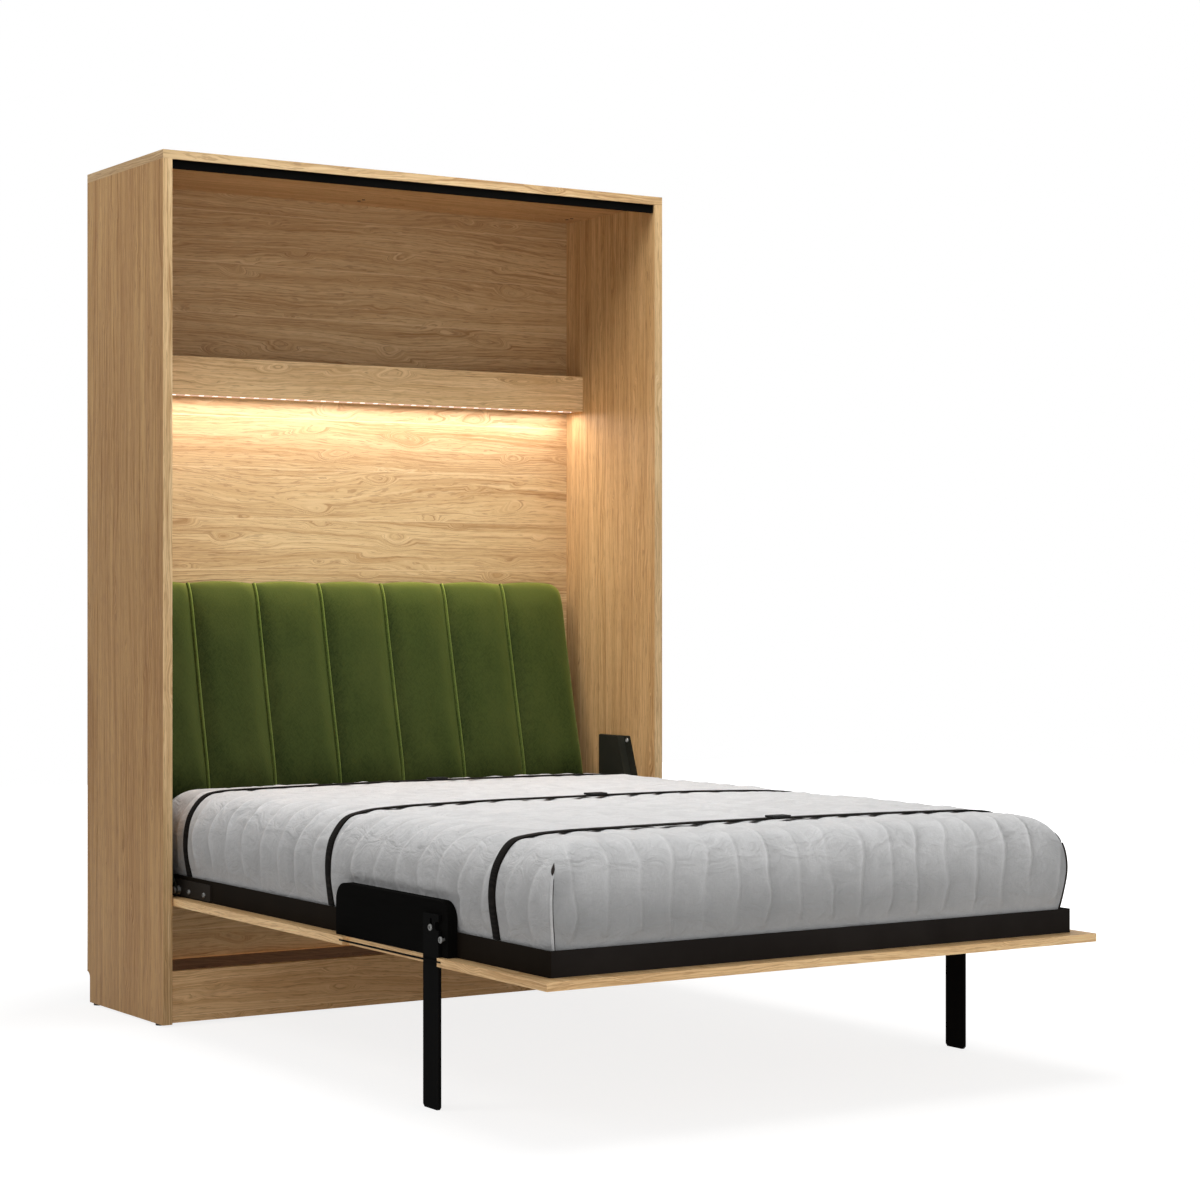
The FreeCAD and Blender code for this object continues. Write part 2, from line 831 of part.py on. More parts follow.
def leg():
    """Flat bar with a slot above its pivot, a notch beside it and a chamfered toe."""
    half = leg_width / 2
    top = leg_bolt_height + leg_top_above_bolt
    bar = side_plate(leg_inner, leg_outer, [
        (leg_y - half + leg_toe_chamfer, 0, 0),
        (leg_y - half, leg_toe_chamfer, 0),
        (leg_y - half, top, 0),
        (leg_y + half, top, 0),
        (leg_y + half, leg_toe_chamfer, 0),
        (leg_y + half - leg_toe_chamfer, 0, 0)])
    slot_radius = leg_bolt_radius + leg_bolt_clearance
    for rise in (0, leg_slot_travel):
        bar = bar.cut(rod_x(slot_radius, leg_inner - overrun, leg_outer + overrun,
                            leg_y, leg_bolt_height + rise))
    bar = bar.cut(block((leg_inner - overrun, leg_outer + overrun),
                        (leg_y - slot_radius, leg_y + slot_radius),
                        (leg_bolt_height, leg_bolt_height + leg_slot_travel)))
    notch_z = leg_bolt_height + leg_notch_rise
    notch_radius = leg_notch_width / 2
    notch_y = leg_y - half + leg_notch_depth - notch_radius
    notch = rod_x(notch_radius, leg_inner - overrun, leg_outer + overrun, notch_y, notch_z)
    mouth = block((leg_inner - overrun, leg_outer + overrun), (leg_y - half - overrun, notch_y),
                  (notch_z - notch_radius, notch_z + notch_radius))
    return bar.cut(notch.fuse(mouth))


# Hinge arm, pivot pin and lift bracket

def hinge_arm():
    """Plate bolted to the rail, with the pivot bore and a stud on its tail for the gas spring."""
    tail = stud_y + arm_tail_radius
    radius = arm_tail_radius
    plate = side_plate(rail_outer, arm_outer, [
        (front_plane - arm_reach, arm_bottom, arm_corner_radius),
        (front_plane - arm_reach, arm_top, arm_corner_radius),
        (pivot_y + arm_neck_length, arm_top, arm_tail_radius),
        (stud_y - arm_tail_radius, pivot_height + radius, arm_corner_radius),
        (tail, pivot_height + radius, radius),
        (tail, pivot_height - radius, radius),
        (stud_y - arm_tail_radius, pivot_height - radius, 0),
        (pivot_y + arm_neck_length, arm_bottom, 0)])
    bore = rod_x(pin_radius + pin_clearance, rail_outer - overrun, arm_outer + overrun,
                 pivot_y, pivot_height)
    stud = rod_x(stud_radius, arm_outer - arm_thickness / 2,
                 socket_face - spring_stud_gap, stud_y, pivot_height)
    arm = plate.cut(bore).fuse(stud)
    for reach in arm_bolt_reach:
        arm = arm.cut(rod_x(arm_bolt_radius + pin_clearance, rail_outer - overrun,
                            arm_outer + overrun, front_plane - reach, pivot_height))
    return arm


def arm_bolts():
    bolts = []
    for reach in arm_bolt_reach:
        y = front_plane - reach
        shank = rod_x(arm_bolt_radius, rail_outer, arm_outer, y, pivot_height)
        head = small_disc(arm_bolt_head_radius, Vec(arm_outer, y, pivot_height),
                          Vec(arm_bolt_head_height, 0, 0))
        bolts.append(shank.fuse(head))
    return both_sides(Part.makeCompound(bolts))


def pivot_pin():
    """Pin fixed in the bracket's lug, with a collar that spaces the arm off the bracket."""
    pin = rod_x(pin_radius, rail_outer + pin_collar_gap, bracket_inside + pin_head_height / 2,
                pivot_y, pivot_height)
    collar = rod_x(pin_collar_radius, arm_outer + pin_collar_gap, bracket_face,
                   pivot_y, pivot_height)
    head = rod_x(pin_head_radius, bracket_inside, bracket_inside + pin_head_height,
                 pivot_y, pivot_height)
    return pin.fuse(collar).fuse(head)


bracket_back = front_plane + bracket_back_inset
bracket_front = front_plane + bracket_front_inset
bracket_foot_front = front_plane + bracket_foot_front_inset
bracket_lean = (bracket_front - bracket_foot_front) / (bracket_top_height - bracket_foot_height)
bracket_wall_run = bracket_sheet * math.sqrt(1 + bracket_lean ** 2)


def bracket_front_at(z):
    """Place of the leaning front wall at a height."""
    return bracket_foot_front + bracket_lean * (z - bracket_foot_height)


def lift_bracket():
    """Folded sheet case on the side panel: a box open below, two flanges and the pivot's lug."""
    top = bracket_top_height
    foot = bracket_foot_height
    radius = bracket_corner_radius
    case = side_plate(bracket_face, inner_half, [
        (bracket_foot_front, foot, 0),
        (bracket_front, top, 0),
        (bracket_back, top, 0),
        (bracket_back, foot, 0)])
    ceiling = top - bracket_sheet
    floor = foot - overrun
    hollow = side_plate(bracket_inside, inner_half + overrun, [
        (bracket_front_at(floor) + bracket_wall_run, floor, 0),
        (bracket_front_at(ceiling) + bracket_wall_run, ceiling, 0),
        (bracket_back - bracket_sheet, ceiling, 0),
        (bracket_back - bracket_sheet, floor, 0)])
    front_flange = side_plate(flange_face, inner_half, [
        (bracket_foot_front - bracket_flange, foot, radius),
        (bracket_front - bracket_flange, top, radius),
        (bracket_front + bracket_wall_run, top, 0),
        (bracket_foot_front + bracket_wall_run, foot, 0)])
    back_flange = side_plate(flange_face, inner_half, [
        (bracket_back - bracket_sheet, foot, 0),
        (bracket_back - bracket_sheet, top, 0),
        (bracket_back + bracket_flange, top, radius),
        (bracket_back + bracket_flange, foot, radius)])
    lug = side_plate(bracket_face, bracket_inside, [
        (pivot_y - lug_radius, pivot_height, 0),
        (bracket_front_at(foot + lug_radius), foot + lug_radius, 0),
        (pivot_y + 2 * lug_radius, foot + lug_radius, 0),
        (pivot_y + 2 * lug_radius, foot, 0),
        (pivot_y + lug_radius, pivot_height, 0)])
    lug = lug.fuse(rod_x(lug_radius, bracket_face, bracket_inside, pivot_y, pivot_height))
    bracket = case.cut(hollow).fuse([front_flange, back_flange, lug]).removeSplitter()
    return bracket.cut(rod_x(pin_radius + pin_clearance, bracket_face - overrun,
                             bracket_inside + overrun, pivot_y, pivot_height))


def bracket_screws():
    """Screw heads at the ends of both flanges."""
    heads = []
    upper = bracket_top_height - screw_edge_gap
    lower = bracket_foot_height + screw_edge_gap
    for z in (lower, upper):
        front_y = bracket_front_at(z) - bracket_flange / 2
        back_y = bracket_back + bracket_flange / 2
        for y in (front_y, back_y):
            heads.append(small_disc(screw_radius, Vec(flange_face, y, z),
                                    Vec(-screw_head_height, 0, 0)))
    return both_sides(Part.makeCompound(heads))


# Gas spring, drawn with the bed down and the rod pushed in

anchor = Vec(spring_x, anchor_y, spring_anchor_height)
stud = Vec(spring_x, stud_y, pivot_height)
spring_length = (stud - anchor).Length
spring_way = (stud - anchor).normalize()
socket_face = spring_x - spring_socket_length / 2


def on_spring(distance):
    return anchor + spring_way * distance


def spring_anchor():
    return rod_x(spring_anchor_radius, bracket_inside, inner_half, anchor.y, anchor.z)


def gas_cylinder():
    eye = rod_x(spring_eye_radius, anchor.x - spring_eye_length / 2,
                anchor.x + spring_eye_length / 2, anchor.y, anchor.z)
    tube = Part.makeCylinder(spring_tube_radius, spring_tube_end - spring_tube_start,
                             on_spring(spring_tube_start), spring_way)
    bore = Part.makeCylinder(spring_rod_radius + spring_rod_clearance,
                             spring_tube_end - spring_bore_start + overrun,
                             on_spring(spring_bore_start), spring_way)
    hole = rod_x(spring_anchor_radius + spring_rod_clearance, bracket_inside, inner_half,
                 anchor.y, anchor.z)
    return eye.fuse(tube).cut(bore).cut(hole)


def gas_rod():
    rod = Part.makeCylinder(spring_rod_radius, spring_rod_length,
                            on_spring(spring_length - spring_rod_length), spring_way)
    socket = rod_x(spring_socket_radius, socket_face, socket_face + spring_socket_length,
                   stud.y, stud.z)
    return rod.fuse(socket)


def closed_spring():
    """Length and swing of the spring once the bed stands upright, for its two joints."""
    upright = Vec(spring_x, pivot_y, pivot_height - stud_arm_length)
    way = upright - anchor
    return way.Length - spring_length, math.degrees(spring_way.getAngle(way))


# The nodes, one file each

nodes = {
    "side_panel_left": mirrored(side_panel()),
    "side_panel_right": side_panel(),
    "top_panel": top_panel(),
    "back_panel": back_panel(),
    "plinth": plinth(),
    "rear_bottom_rail": rear_bottom_rail(),
    "top_stop_strip": top_stop_strip(),
    "floor_glides": floor_glides(),
    "cam_caps": cam_caps(),
    "shelf_fascia": shelf_fascia(),
    "shelf_board": shelf_board(),
    "light_channel": light_channel(),
    "light_strip": light_strip(),
    "light_driver": light_driver(),
    "headboard_cushion": headboard_cushion(),
    "headboard_board": headboard_board(),
    "headboard_wedge_left": mirrored(headboard_wedge()),
    "headboard_wedge_right": headboard_wedge(),
    "lift_bracket_left": mirrored(lift_bracket()),
    "lift_bracket_right": lift_bracket(),
    "bracket_screws": bracket_screws(),
    "pivot_pin_left": mirrored(pivot_pin()),
    "pivot_pin_right": pivot_pin(),
    "spring_anchor_left": mirrored(spring_anchor()),
    "spring_anchor_right": spring_anchor(),
    "bed_panel": bed_panel(),
    "slot_strip_left": mirrored(slot_strip()),
    "slot_strip_right": slot_strip(),
    "side_rail_left": mirrored(side_rail()),
    "side_rail_right": side_rail(),
    "head_rail": end_rail(rail_head, -1),
    "foot_rail": end_rail(rail_foot, 1),
    "centre_beam": centre_beam(),
    "slats": slats(),
    "slat_caps": slat_caps(),
    "mattress": mattress(),
    "strap_head": strap(strap_places()[0]),
    "strap_middle": strap(strap_places()[1]),
    "strap_foot": strap(strap_places()[2]),
    "buckles": buckles(),
    "guard_board_left": mirrored(guard_board()),
    "guard_board_right": guard_board(),
    "leg_bolts_left": mirrored(leg_bolts()),
    "leg_bolts_right": leg_bolts(),
    "hinge_arm_left": mirrored(hinge_arm()),
    "hinge_arm_right": hinge_arm(),
    "arm_bolts": arm_bolts(),
    "leg_left": mirrored(leg()),
    "leg_right": leg(),
    "gas_cylinder_left": mirrored(gas_cylinder()),
    "gas_cylinder_right": gas_cylinder(),
    "gas_rod_left": mirrored(gas_rod()),
    "gas_rod_right": gas_rod(),
}

os.makedirs("parts", exist_ok=True)
for name, shape in nodes.items():
    shape.exportStep("parts/" + name + ".step")
    if not shape.isValid() or shape.Volume <= 0:
        print("check the shape of", name)

stroke, swing = closed_spring()
print("front plane y %.3f, pivot y %.3f z %.3f" % (front_plane, pivot_y, pivot_height))
print("gas spring: stroke %.3f, swing %.4f degrees" % (stroke, swing))
print("leg pivot y %.3f z %.3f, slot %.1f to %.1f" % (leg_y, leg_bolt_height, slot_foot, slot_head))
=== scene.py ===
import math

import bmesh
import bpy
import numpy as np
from mathutils import Matrix, Vector, noise
from mathutils.bvhtree import BVHTree


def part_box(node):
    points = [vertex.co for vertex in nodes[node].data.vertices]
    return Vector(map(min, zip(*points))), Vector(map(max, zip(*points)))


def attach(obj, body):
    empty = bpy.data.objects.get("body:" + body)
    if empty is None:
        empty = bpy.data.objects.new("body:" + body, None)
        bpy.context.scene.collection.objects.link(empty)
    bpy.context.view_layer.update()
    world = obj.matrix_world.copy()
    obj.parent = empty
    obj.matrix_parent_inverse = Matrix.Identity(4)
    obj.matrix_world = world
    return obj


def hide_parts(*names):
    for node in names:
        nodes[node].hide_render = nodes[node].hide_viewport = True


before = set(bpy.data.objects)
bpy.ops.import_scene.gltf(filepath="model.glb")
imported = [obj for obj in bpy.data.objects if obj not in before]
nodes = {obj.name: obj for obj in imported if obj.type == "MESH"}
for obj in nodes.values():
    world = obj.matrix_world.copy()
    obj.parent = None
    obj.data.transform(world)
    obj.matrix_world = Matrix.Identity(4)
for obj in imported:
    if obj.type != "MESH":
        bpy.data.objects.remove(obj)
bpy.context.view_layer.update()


# ---------------------------------------------------------------- node trees

class Shader:
    """A node tree, with short names for the nodes that it is made of."""

    def __init__(self, tree):
        self.tree = tree

    def node(self, kind, **settings):
        made = self.tree.nodes.new(kind)
        for setting, value in settings.items():
            setattr(made, setting, value)
        return made

    def feed(self, value, socket):
        if isinstance(value, bpy.types.NodeSocket):
            self.tree.links.new(value, socket)
        elif value is not None:
            socket.default_value = (*value, 1.0) if socket.type == "RGBA" else value

    def calc(self, operation, first, second=None, third=None):
        made = self.node("ShaderNodeMath", operation=operation)
        for value, socket in zip((first, second, third), made.inputs):
            self.feed(value, socket)
        return made.outputs[0]

    def seen_straight(self):
        """1 where the ray comes from the camera, a mirror or glass, else 0."""
        rays = self.node("ShaderNodeLightPath").outputs
        seen = self.calc("MAXIMUM", rays["Is Camera Ray"], rays["Is Glossy Ray"])
        return self.calc("MAXIMUM", seen, rays["Is Transmission Ray"])

    def shine(self, kind, colour, strength):
        made = self.node(kind)
        self.feed(colour, made.inputs["Color"])
        self.feed(strength, made.inputs["Strength"])
        return made.outputs[0]

    def blend(self, share, first, second, target):
        """Mixes two shaders into the tree's output."""
        made = self.node("ShaderNodeMixShader")
        for value, socket in zip((share, first, second), made.inputs):
            self.feed(value, socket)
        self.feed(made.outputs[0], target.inputs[0])


class Finish(Shader):
    """One procedural material on Object coordinates."""

    def __init__(self, name, roughness=0.5, metallic=0.0, gloss=0.5):
        self.material = bpy.data.materials.new(name)
        self.material.use_nodes = True
        super().__init__(self.material.node_tree)
        self.skin = self.tree.nodes["Principled BSDF"]
        self.set("Roughness", roughness)
        self.set("Metallic", metallic)
        self.set("Specular IOR Level", gloss)
        self.coords = self.node("ShaderNodeTexCoord").outputs

    def set(self, name, value):
        self.feed(value, self.skin.inputs[name])

    def spread(self, scale, turn=None):
        """Object coordinates in metres, turned and then times scale."""
        source = self.coords["Object"]
        if turn:
            turning = self.node("ShaderNodeMapping")
            turning.inputs["Rotation"].default_value = turn
            self.feed(source, turning.inputs["Vector"])
            source = turning.outputs["Vector"]
        mapping = self.node("ShaderNodeMapping")
        mapping.inputs["Scale"].default_value = scale
        self.feed(source, mapping.inputs["Vector"])
        return mapping.outputs["Vector"]

    def split(self, vector):
        made = self.node("ShaderNodeSeparateXYZ")
        self.feed(vector, made.inputs[0])
        return made.outputs

    def join(self, *values):
        made = self.node("ShaderNodeCombineXYZ")
        for value, socket in zip(values, made.inputs):
            self.feed(value, socket)
        return made.outputs[0]

    def times(self, *values):
        product = values[0]
        for value in values[1:]:
            product = self.calc("MULTIPLY", product, value)
        return product

    def noise(self, vector, detail=2.0, rough=0.5, warp=0.0):
        made = self.node("ShaderNodeTexNoise")
        for name, value in (("Scale", 1.0), ("Detail", detail), ("Roughness", rough),
                            ("Distortion", warp), ("Vector", vector)):
            self.feed(value, made.inputs[name])
        return made.outputs[0]

    def specks(self, scale, *about, turn=None):
        """Noise on Object coordinates that are turned and then times scale."""
        return self.noise(self.spread(scale, turn), *about)

    def ramp(self, factor, *stops):
        made = self.node("ShaderNodeValToRGB")
        points = made.color_ramp.elements
        while len(points) < len(stops):
            points.new(0.5)
        for point, (place, colour) in zip(points, stops):
            point.position = place
            if isinstance(colour, (int, float)):
                colour = (colour, colour, colour)
            point.color = (*colour, 1.0)
        self.feed(factor, made.inputs[0])
        return made.outputs[0]

    def mix(self, factor, first, second, mode="MIX"):
        made = self.node("ShaderNodeMix", data_type="RGBA", blend_type=mode)
        self.feed(factor, made.inputs[0])
        self.feed(first, made.inputs[6])
        self.feed(second, made.inputs[7])
        return made.outputs[2]

    def layered(self, base, *layers):
        """Lays colours over the base, each with its own share."""
        for share, colour in layers:
            base = self.mix(share, base, colour)
        return base

    def colour(self, value):
        self.set("Base Color", value)

    def attribute(self, name):
        """A number that the piece's own mesh carries at each point."""
        return self.node("ShaderNodeAttribute", attribute_name=name).outputs["Fac"]

    def bump(self, height, distance, strength=1.0, under=None):
        made = self.node("ShaderNodeBump")
        for name, value in (("Strength", strength), ("Distance", distance), ("Height", height),
                            ("Normal", under)):
            self.feed(value, made.inputs[name])
        self.set("Normal", made.outputs[0])
        return made.outputs[0]


# ---------------------------------------------------------------- camera, light and floor

def place_camera():
    """The photograph's view, found from the corners of the cabinet and the bed panel."""
    bpy.context.scene.view_settings.view_transform = "Standard"
    data = bpy.data.cameras.new("front_left_view")
    data.sensor_width = 36.0
    data.lens = 81.372
    camera = bpy.data.objects.new("front_left_view", data)
    camera.location = (-3.4660, -5.5634, 1.0537)
    camera.rotation_euler = (math.radians(90), 0, math.radians(-32.875))
    bpy.context.collection.objects.link(camera)
    bpy.context.scene.camera = camera


def soft_light(name, place, aim, size, power, colour=(1.0, 1.0, 1.0), spread=180):
    data = bpy.data.lights.new(name, "AREA")
    data.shape = "RECTANGLE"
    data.size, data.size_y = size
    data.energy = power
    data.color = colour
    data.spread = math.radians(spread)
    lamp = bpy.data.objects.new(name, data)
    lamp.location = place
    way = Vector(aim) - Vector(place)
    lamp.rotation_euler = way.to_track_quat("-Z", "Y").to_euler()
    bpy.context.collection.objects.link(lamp)


def light_the_room():
    world = bpy.data.worlds.new("pale_room")
    bpy.context.scene.world = world
    world.use_nodes = True
    world.node_tree.nodes.clear()
    room = Shader(world.node_tree)
    fill = room.shine("ShaderNodeBackground", (1.0, 0.99, 0.98), 0.30)
    paper = room.shine("ShaderNodeBackground", (1.0, 1.0, 1.0), 1.0)
    room.blend(room.seen_straight(), fill, paper, room.node("ShaderNodeOutputWorld"))
    soft_light("overhead", (0.2, -0.2, 3.8), (0.0, -0.05, 0.6), (2.2, 1.6), 76)
    soft_light("bed_top", (0.3, 0.0, 2.6), (0.0, 0.25, 0.59), (1.4, 0.9), 2.5, spread=100)
    soft_light("left_window", (-2.9, 0.5, 3.3), (-0.74, 0.85, 1.7), (1.2, 1.4), 22)
    soft_light("left_rake", (-3.3, -3.0, 1.4), (0.0, -1.0, 0.5), (0.5, 0.9), 8)
    soft_light("low_front", (-1.2, -5.0, 0.9), (0.0, 0.6, 0.4), (3.0, 1.2), 20)
    soft_light("foot_front", (0.3, -2.7, 0.5), (0.0, -1.1, 0.36), (1.6, 0.4), 3.8)
    soft_light("bay_wash", (0.0, 0.80, 1.32), (0.0, 1.09, 1.24), (1.3, 0.4), 0.7,
               (0.78, 1.0, 0.92), 140)


def lay_floor():
    """A pale floor that fades to white away from the bed and keeps its shadow."""
    mesh = bmesh.new()
    bmesh.ops.create_grid(mesh, x_segments=4, y_segments=4, size=9)
    paint = Finish("pale_floor", roughness=0.9, gloss=0.1)
    paint.colour((0.58, 0.576, 0.572))
    glow = paint.shine("ShaderNodeEmission", (1.0, 1.0, 1.0), 1.5)
    reach = paint.node("ShaderNodeVectorMath", operation="LENGTH")
    paint.feed(paint.coords["Object"], reach.inputs[0])
    share = paint.node("ShaderNodeMapRange")
    for socket, value in zip(share.inputs, (reach.outputs["Value"], 1.4, 3.2, 0.55, 1.0)):
        paint.feed(value, socket)
    white = paint.times(paint.seen_straight(), share.outputs[0])
    paint.blend(white, paint.skin.outputs[0], glow, paint.tree.nodes["Material Output"])
    keep("floor", mesh, paint.material)


# ---------------------------------------------------------------- finishes

def oak(name, grain, across, thick, shift=0.0, tone_with_painted_light=(1.0, 0.92, 0.80), edge_tone_with_painted_light=(1.22, 1.22, 1.18),
        leaf=0.137, figure=0.74, swing=1.0):
    """Oak veneer in leaves: growth lines that wave and curl, pores and streaks that follow them.

    The banding on a board's edges has its grain along the edge.
    """
    wood = Finish(name, roughness=0.55, gloss=0.30)
    axes = wood.split(wood.coords["Object"])
    parts = wood.split(wood.coords["Normal"])

    def facing(axis):
        return wood.calc("GREATER_THAN", wood.calc("ABSOLUTE", parts[axis]), 0.7)

    def either(share, first, second):
        return wood.calc("MULTIPLY_ADD", share, wood.calc("SUBTRACT", second, first), first)

    on_edge = wood.calc("SUBTRACT", 1.0, facing(thick))
    on_end = facing(grain)
    length = wood.calc("ADD", either(on_end, axes[grain], axes[across]), shift)
    width = wood.calc("ADD", either(on_edge, axes[across], axes[thick]), shift * 0.7 + 0.052)
    leaf_place = wood.calc("DIVIDE", width, leaf)
    leaf_share = wood.calc("FRACT", leaf_place)
    own = wood.times(wood.calc("FLOOR", leaf_place), 7.31)

    def drawn(across_scale, length_scale):
        """The board's own coordinates, each leaf at another place of the pattern."""
        return wood.join(wood.calc("MULTIPLY_ADD", length, length_scale, own),
                         wood.times(width, across_scale), own)

    wave = wood.times(wood.noise(drawn(4.5, 1.0), 1.0, 0.4), 20.0 * swing)
    curl_spot = wood.ramp(wood.noise(drawn(19, 7.0), 0.0), (0.64, 0.0), (0.86, 1.0))
    curl = wood.times(curl_spot, 4.5 * swing)
    wander = wood.times(wood.noise(drawn(60, 10), 2.0), 1.8)
    line = wood.calc("ADD", wood.calc("MULTIPLY_ADD", width, 140.0, wave),
                     wood.calc("ADD", curl, wander))

    def flowing(across_scale, length_scale):
        """Coordinates that follow the growth lines, one unit per 7 mm across them."""
        return wood.join(wood.calc("MULTIPLY_ADD", length, length_scale, own),
                         wood.times(line, across_scale), own)

    growth = wood.noise(flowing(1.25, 2.6), 3.0, 0.62)
    strength = wood.ramp(wood.noise(drawn(7, 0.9), 1.0), (0.34, 0.45), (0.58, 1.0))
    ring = wood.calc("FRACT", wood.calc("MULTIPLY_ADD", growth, 0.9, line))
    ring_line = wood.ramp(ring, (0.0, 0.10), (0.50, 0.12), (0.80, 1.0), (0.90, 0.55), (1.0, 0.10))
    clear = wood.ramp(wood.noise(drawn(6, 1.6), 1.0), (0.40, 0.15), (0.60, 0.95))
    late = wood.calc("MAXIMUM", wood.ramp(growth, (0.35, 1.0), (0.46, 0.0)),
                     wood.times(ring_line, clear))
    late = wood.times(late, strength)
    early = wood.ramp(growth, (0.53, 0.0), (0.66, 1.0))
    fibre = wood.noise(flowing(2.6, 6.0), 3.0, 0.62)
    streak = wood.noise(flowing(0.33, 0.8), 2.0, 0.55)
    slow = wood.noise(drawn(4.5, 0.45), 1.0)
    pores = wood.ramp(wood.noise(flowing(3.1, 22.0), 2.0, 0.6), (0.55, 0.0), (0.63, 1.0))
    joint = wood.times(wood.ramp(leaf_share, (0.0, 1.0), (0.014, 0.0), (0.988, 0.0), (1.0, 1.0)),
                       facing(thick))

    # Each copy's tones are partly the board's own colour and partly painted light and shade for its
    # panel, on its faces and on its edge banding.
    def shade(*colour):
        """The figure's colour on the faces, and on the edge banding."""
        face, edge = (tuple(part * share for part, share in zip(colour, own_tone))
                      for own_tone in (tone_with_painted_light, edge_tone_with_painted_light))
        return wood.mix(on_edge, face, edge)

    wood.colour(wood.layered(
        shade(0.480, 0.300, 0.138),
        (wood.ramp(streak, (0.36, 0.0), (0.64, 1.0)), shade(0.660, 0.470, 0.256)),
        (wood.ramp(fibre, (0.42, 0.0), (0.64, 0.6)), shade(0.700, 0.505, 0.285)),
        (wood.times(early, 0.55), shade(0.760, 0.580, 0.345)),
        (wood.times(late, figure), shade(0.320, 0.170, 0.066)),
        (wood.times(curl_spot, 0.12), shade(0.420, 0.250, 0.110)),
        (wood.ramp(slow, (0.42, 0.0), (0.66, 0.22)), shade(0.480, 0.305, 0.150)),
        (wood.times(pores, 0.42), shade(0.255, 0.130, 0.052)),
        (wood.times(joint, 0.70), shade(0.780, 0.600, 0.370))))
    grain_height = wood.calc("SUBTRACT", fibre, wood.times(pores, 0.6))
    wood.bump(grain_height, 0.0006, 0.5)
    wood.set("Roughness", wood.ramp(late, (0.0, 0.5), (1.0, 0.62)))
    return wood.material


def plain_wood():
    wood = Finish("plain_birch", roughness=0.6)
    fibre = wood.specks((3, 120, 120), 3.0, 0.6)
    slow = wood.specks((0.8, 7, 7), 2.0)
    base = wood.ramp(fibre, (0.3, (0.56, 0.40, 0.24)), (0.7, (0.72, 0.56, 0.37)))
    wood.colour(wood.mix(wood.ramp(slow, (0.4, 0.0), (0.7, 0.4)), base, (0.50, 0.34, 0.20)))
    wood.bump(fibre, 0.0005, 0.4)
    return wood.material


def black_steel(name, dark, light, gloss):
    """Fine textured powder coat with a faint brown cast."""
    coat = Finish(name, gloss=gloss)
    coat.set("IOR", 1.2)
    speckle = coat.specks((900, 900, 900), 2.0, 0.6)
    cloud = coat.specks((9, 9, 9), 3.0)
    coat.colour(coat.ramp(cloud, (0.35, dark), (0.7, light)))
    coat.set("Roughness", coat.ramp(cloud, (0.3, 0.44), (0.7, 0.56)))
    coat.bump(speckle, 0.00025, 0.45)
    return coat.material


def black_board():
    """Black melamine face: dull, with a faint pressed grain."""
    board = Finish("black_melamine", gloss=0.02)
    board.set("IOR", 1.15)
    grain = board.specks((300, 12, 300), 2.0, 0.6)
    cloud = board.specks((5, 5, 5))
    board.colour(board.ramp(cloud, (0.3, (0.0044, 0.0043, 0.0040)),
                            (0.7, (0.0066, 0.0063, 0.0058))))
    board.set("Roughness", board.ramp(grain, (0.3, 0.55), (0.7, 0.68)))
    board.bump(grain, 0.0002, 0.35)
    return board.material


def brushed(name, colour, roughness, scale=(1200, 60, 1200)):
    """Bare metal with fine lines along it."""
    metal = Finish(name, metallic=1.0)
    lines = metal.specks(scale, 2.0, 0.6)
    dull = tuple(channel * 0.82 for channel in colour)
    metal.colour(metal.ramp(lines, (0.3, dull), (0.7, colour)))
    metal.set("Roughness", metal.ramp(lines, (0.3, roughness * 0.8), (0.7, roughness * 1.3)))
    metal.bump(lines, 0.00012, 0.3)
    return metal.material


def black_plastic():
    plastic = Finish("black_moulded_plastic", roughness=0.45, gloss=0.15)
    grain = plastic.specks((700, 700, 700), 2.0, 0.6)
    plastic.colour(plastic.ramp(grain, (0.3, (0.012, 0.012, 0.012)), (0.7, (0.020, 0.020, 0.020))))
    plastic.bump(grain, 0.0002, 0.35)
    return plastic.material


def light_diffuser(diode_step=0.040):
    """Warm milky strip with a bright dash at each of its diodes."""
    strip = Finish("warm_light_strip", roughness=0.4)
    along = strip.split(strip.coords["Object"])["X"]
    share = strip.calc("FRACT", strip.calc("DIVIDE", along, diode_step))
    dash = strip.calc("SUBTRACT", 1.0, strip.calc("ABSOLUTE", strip.calc("SUBTRACT", share, 0.5)))
    strip.colour((0.60, 0.51, 0.46))
    strip.set("Emission Color", strip.ramp(dash, (0.80, (0.27, 0.20, 0.18)),
                                           (0.84, (1.0, 0.94, 0.90))))
    strip.set("Emission Strength", 1.5)
    return strip.material


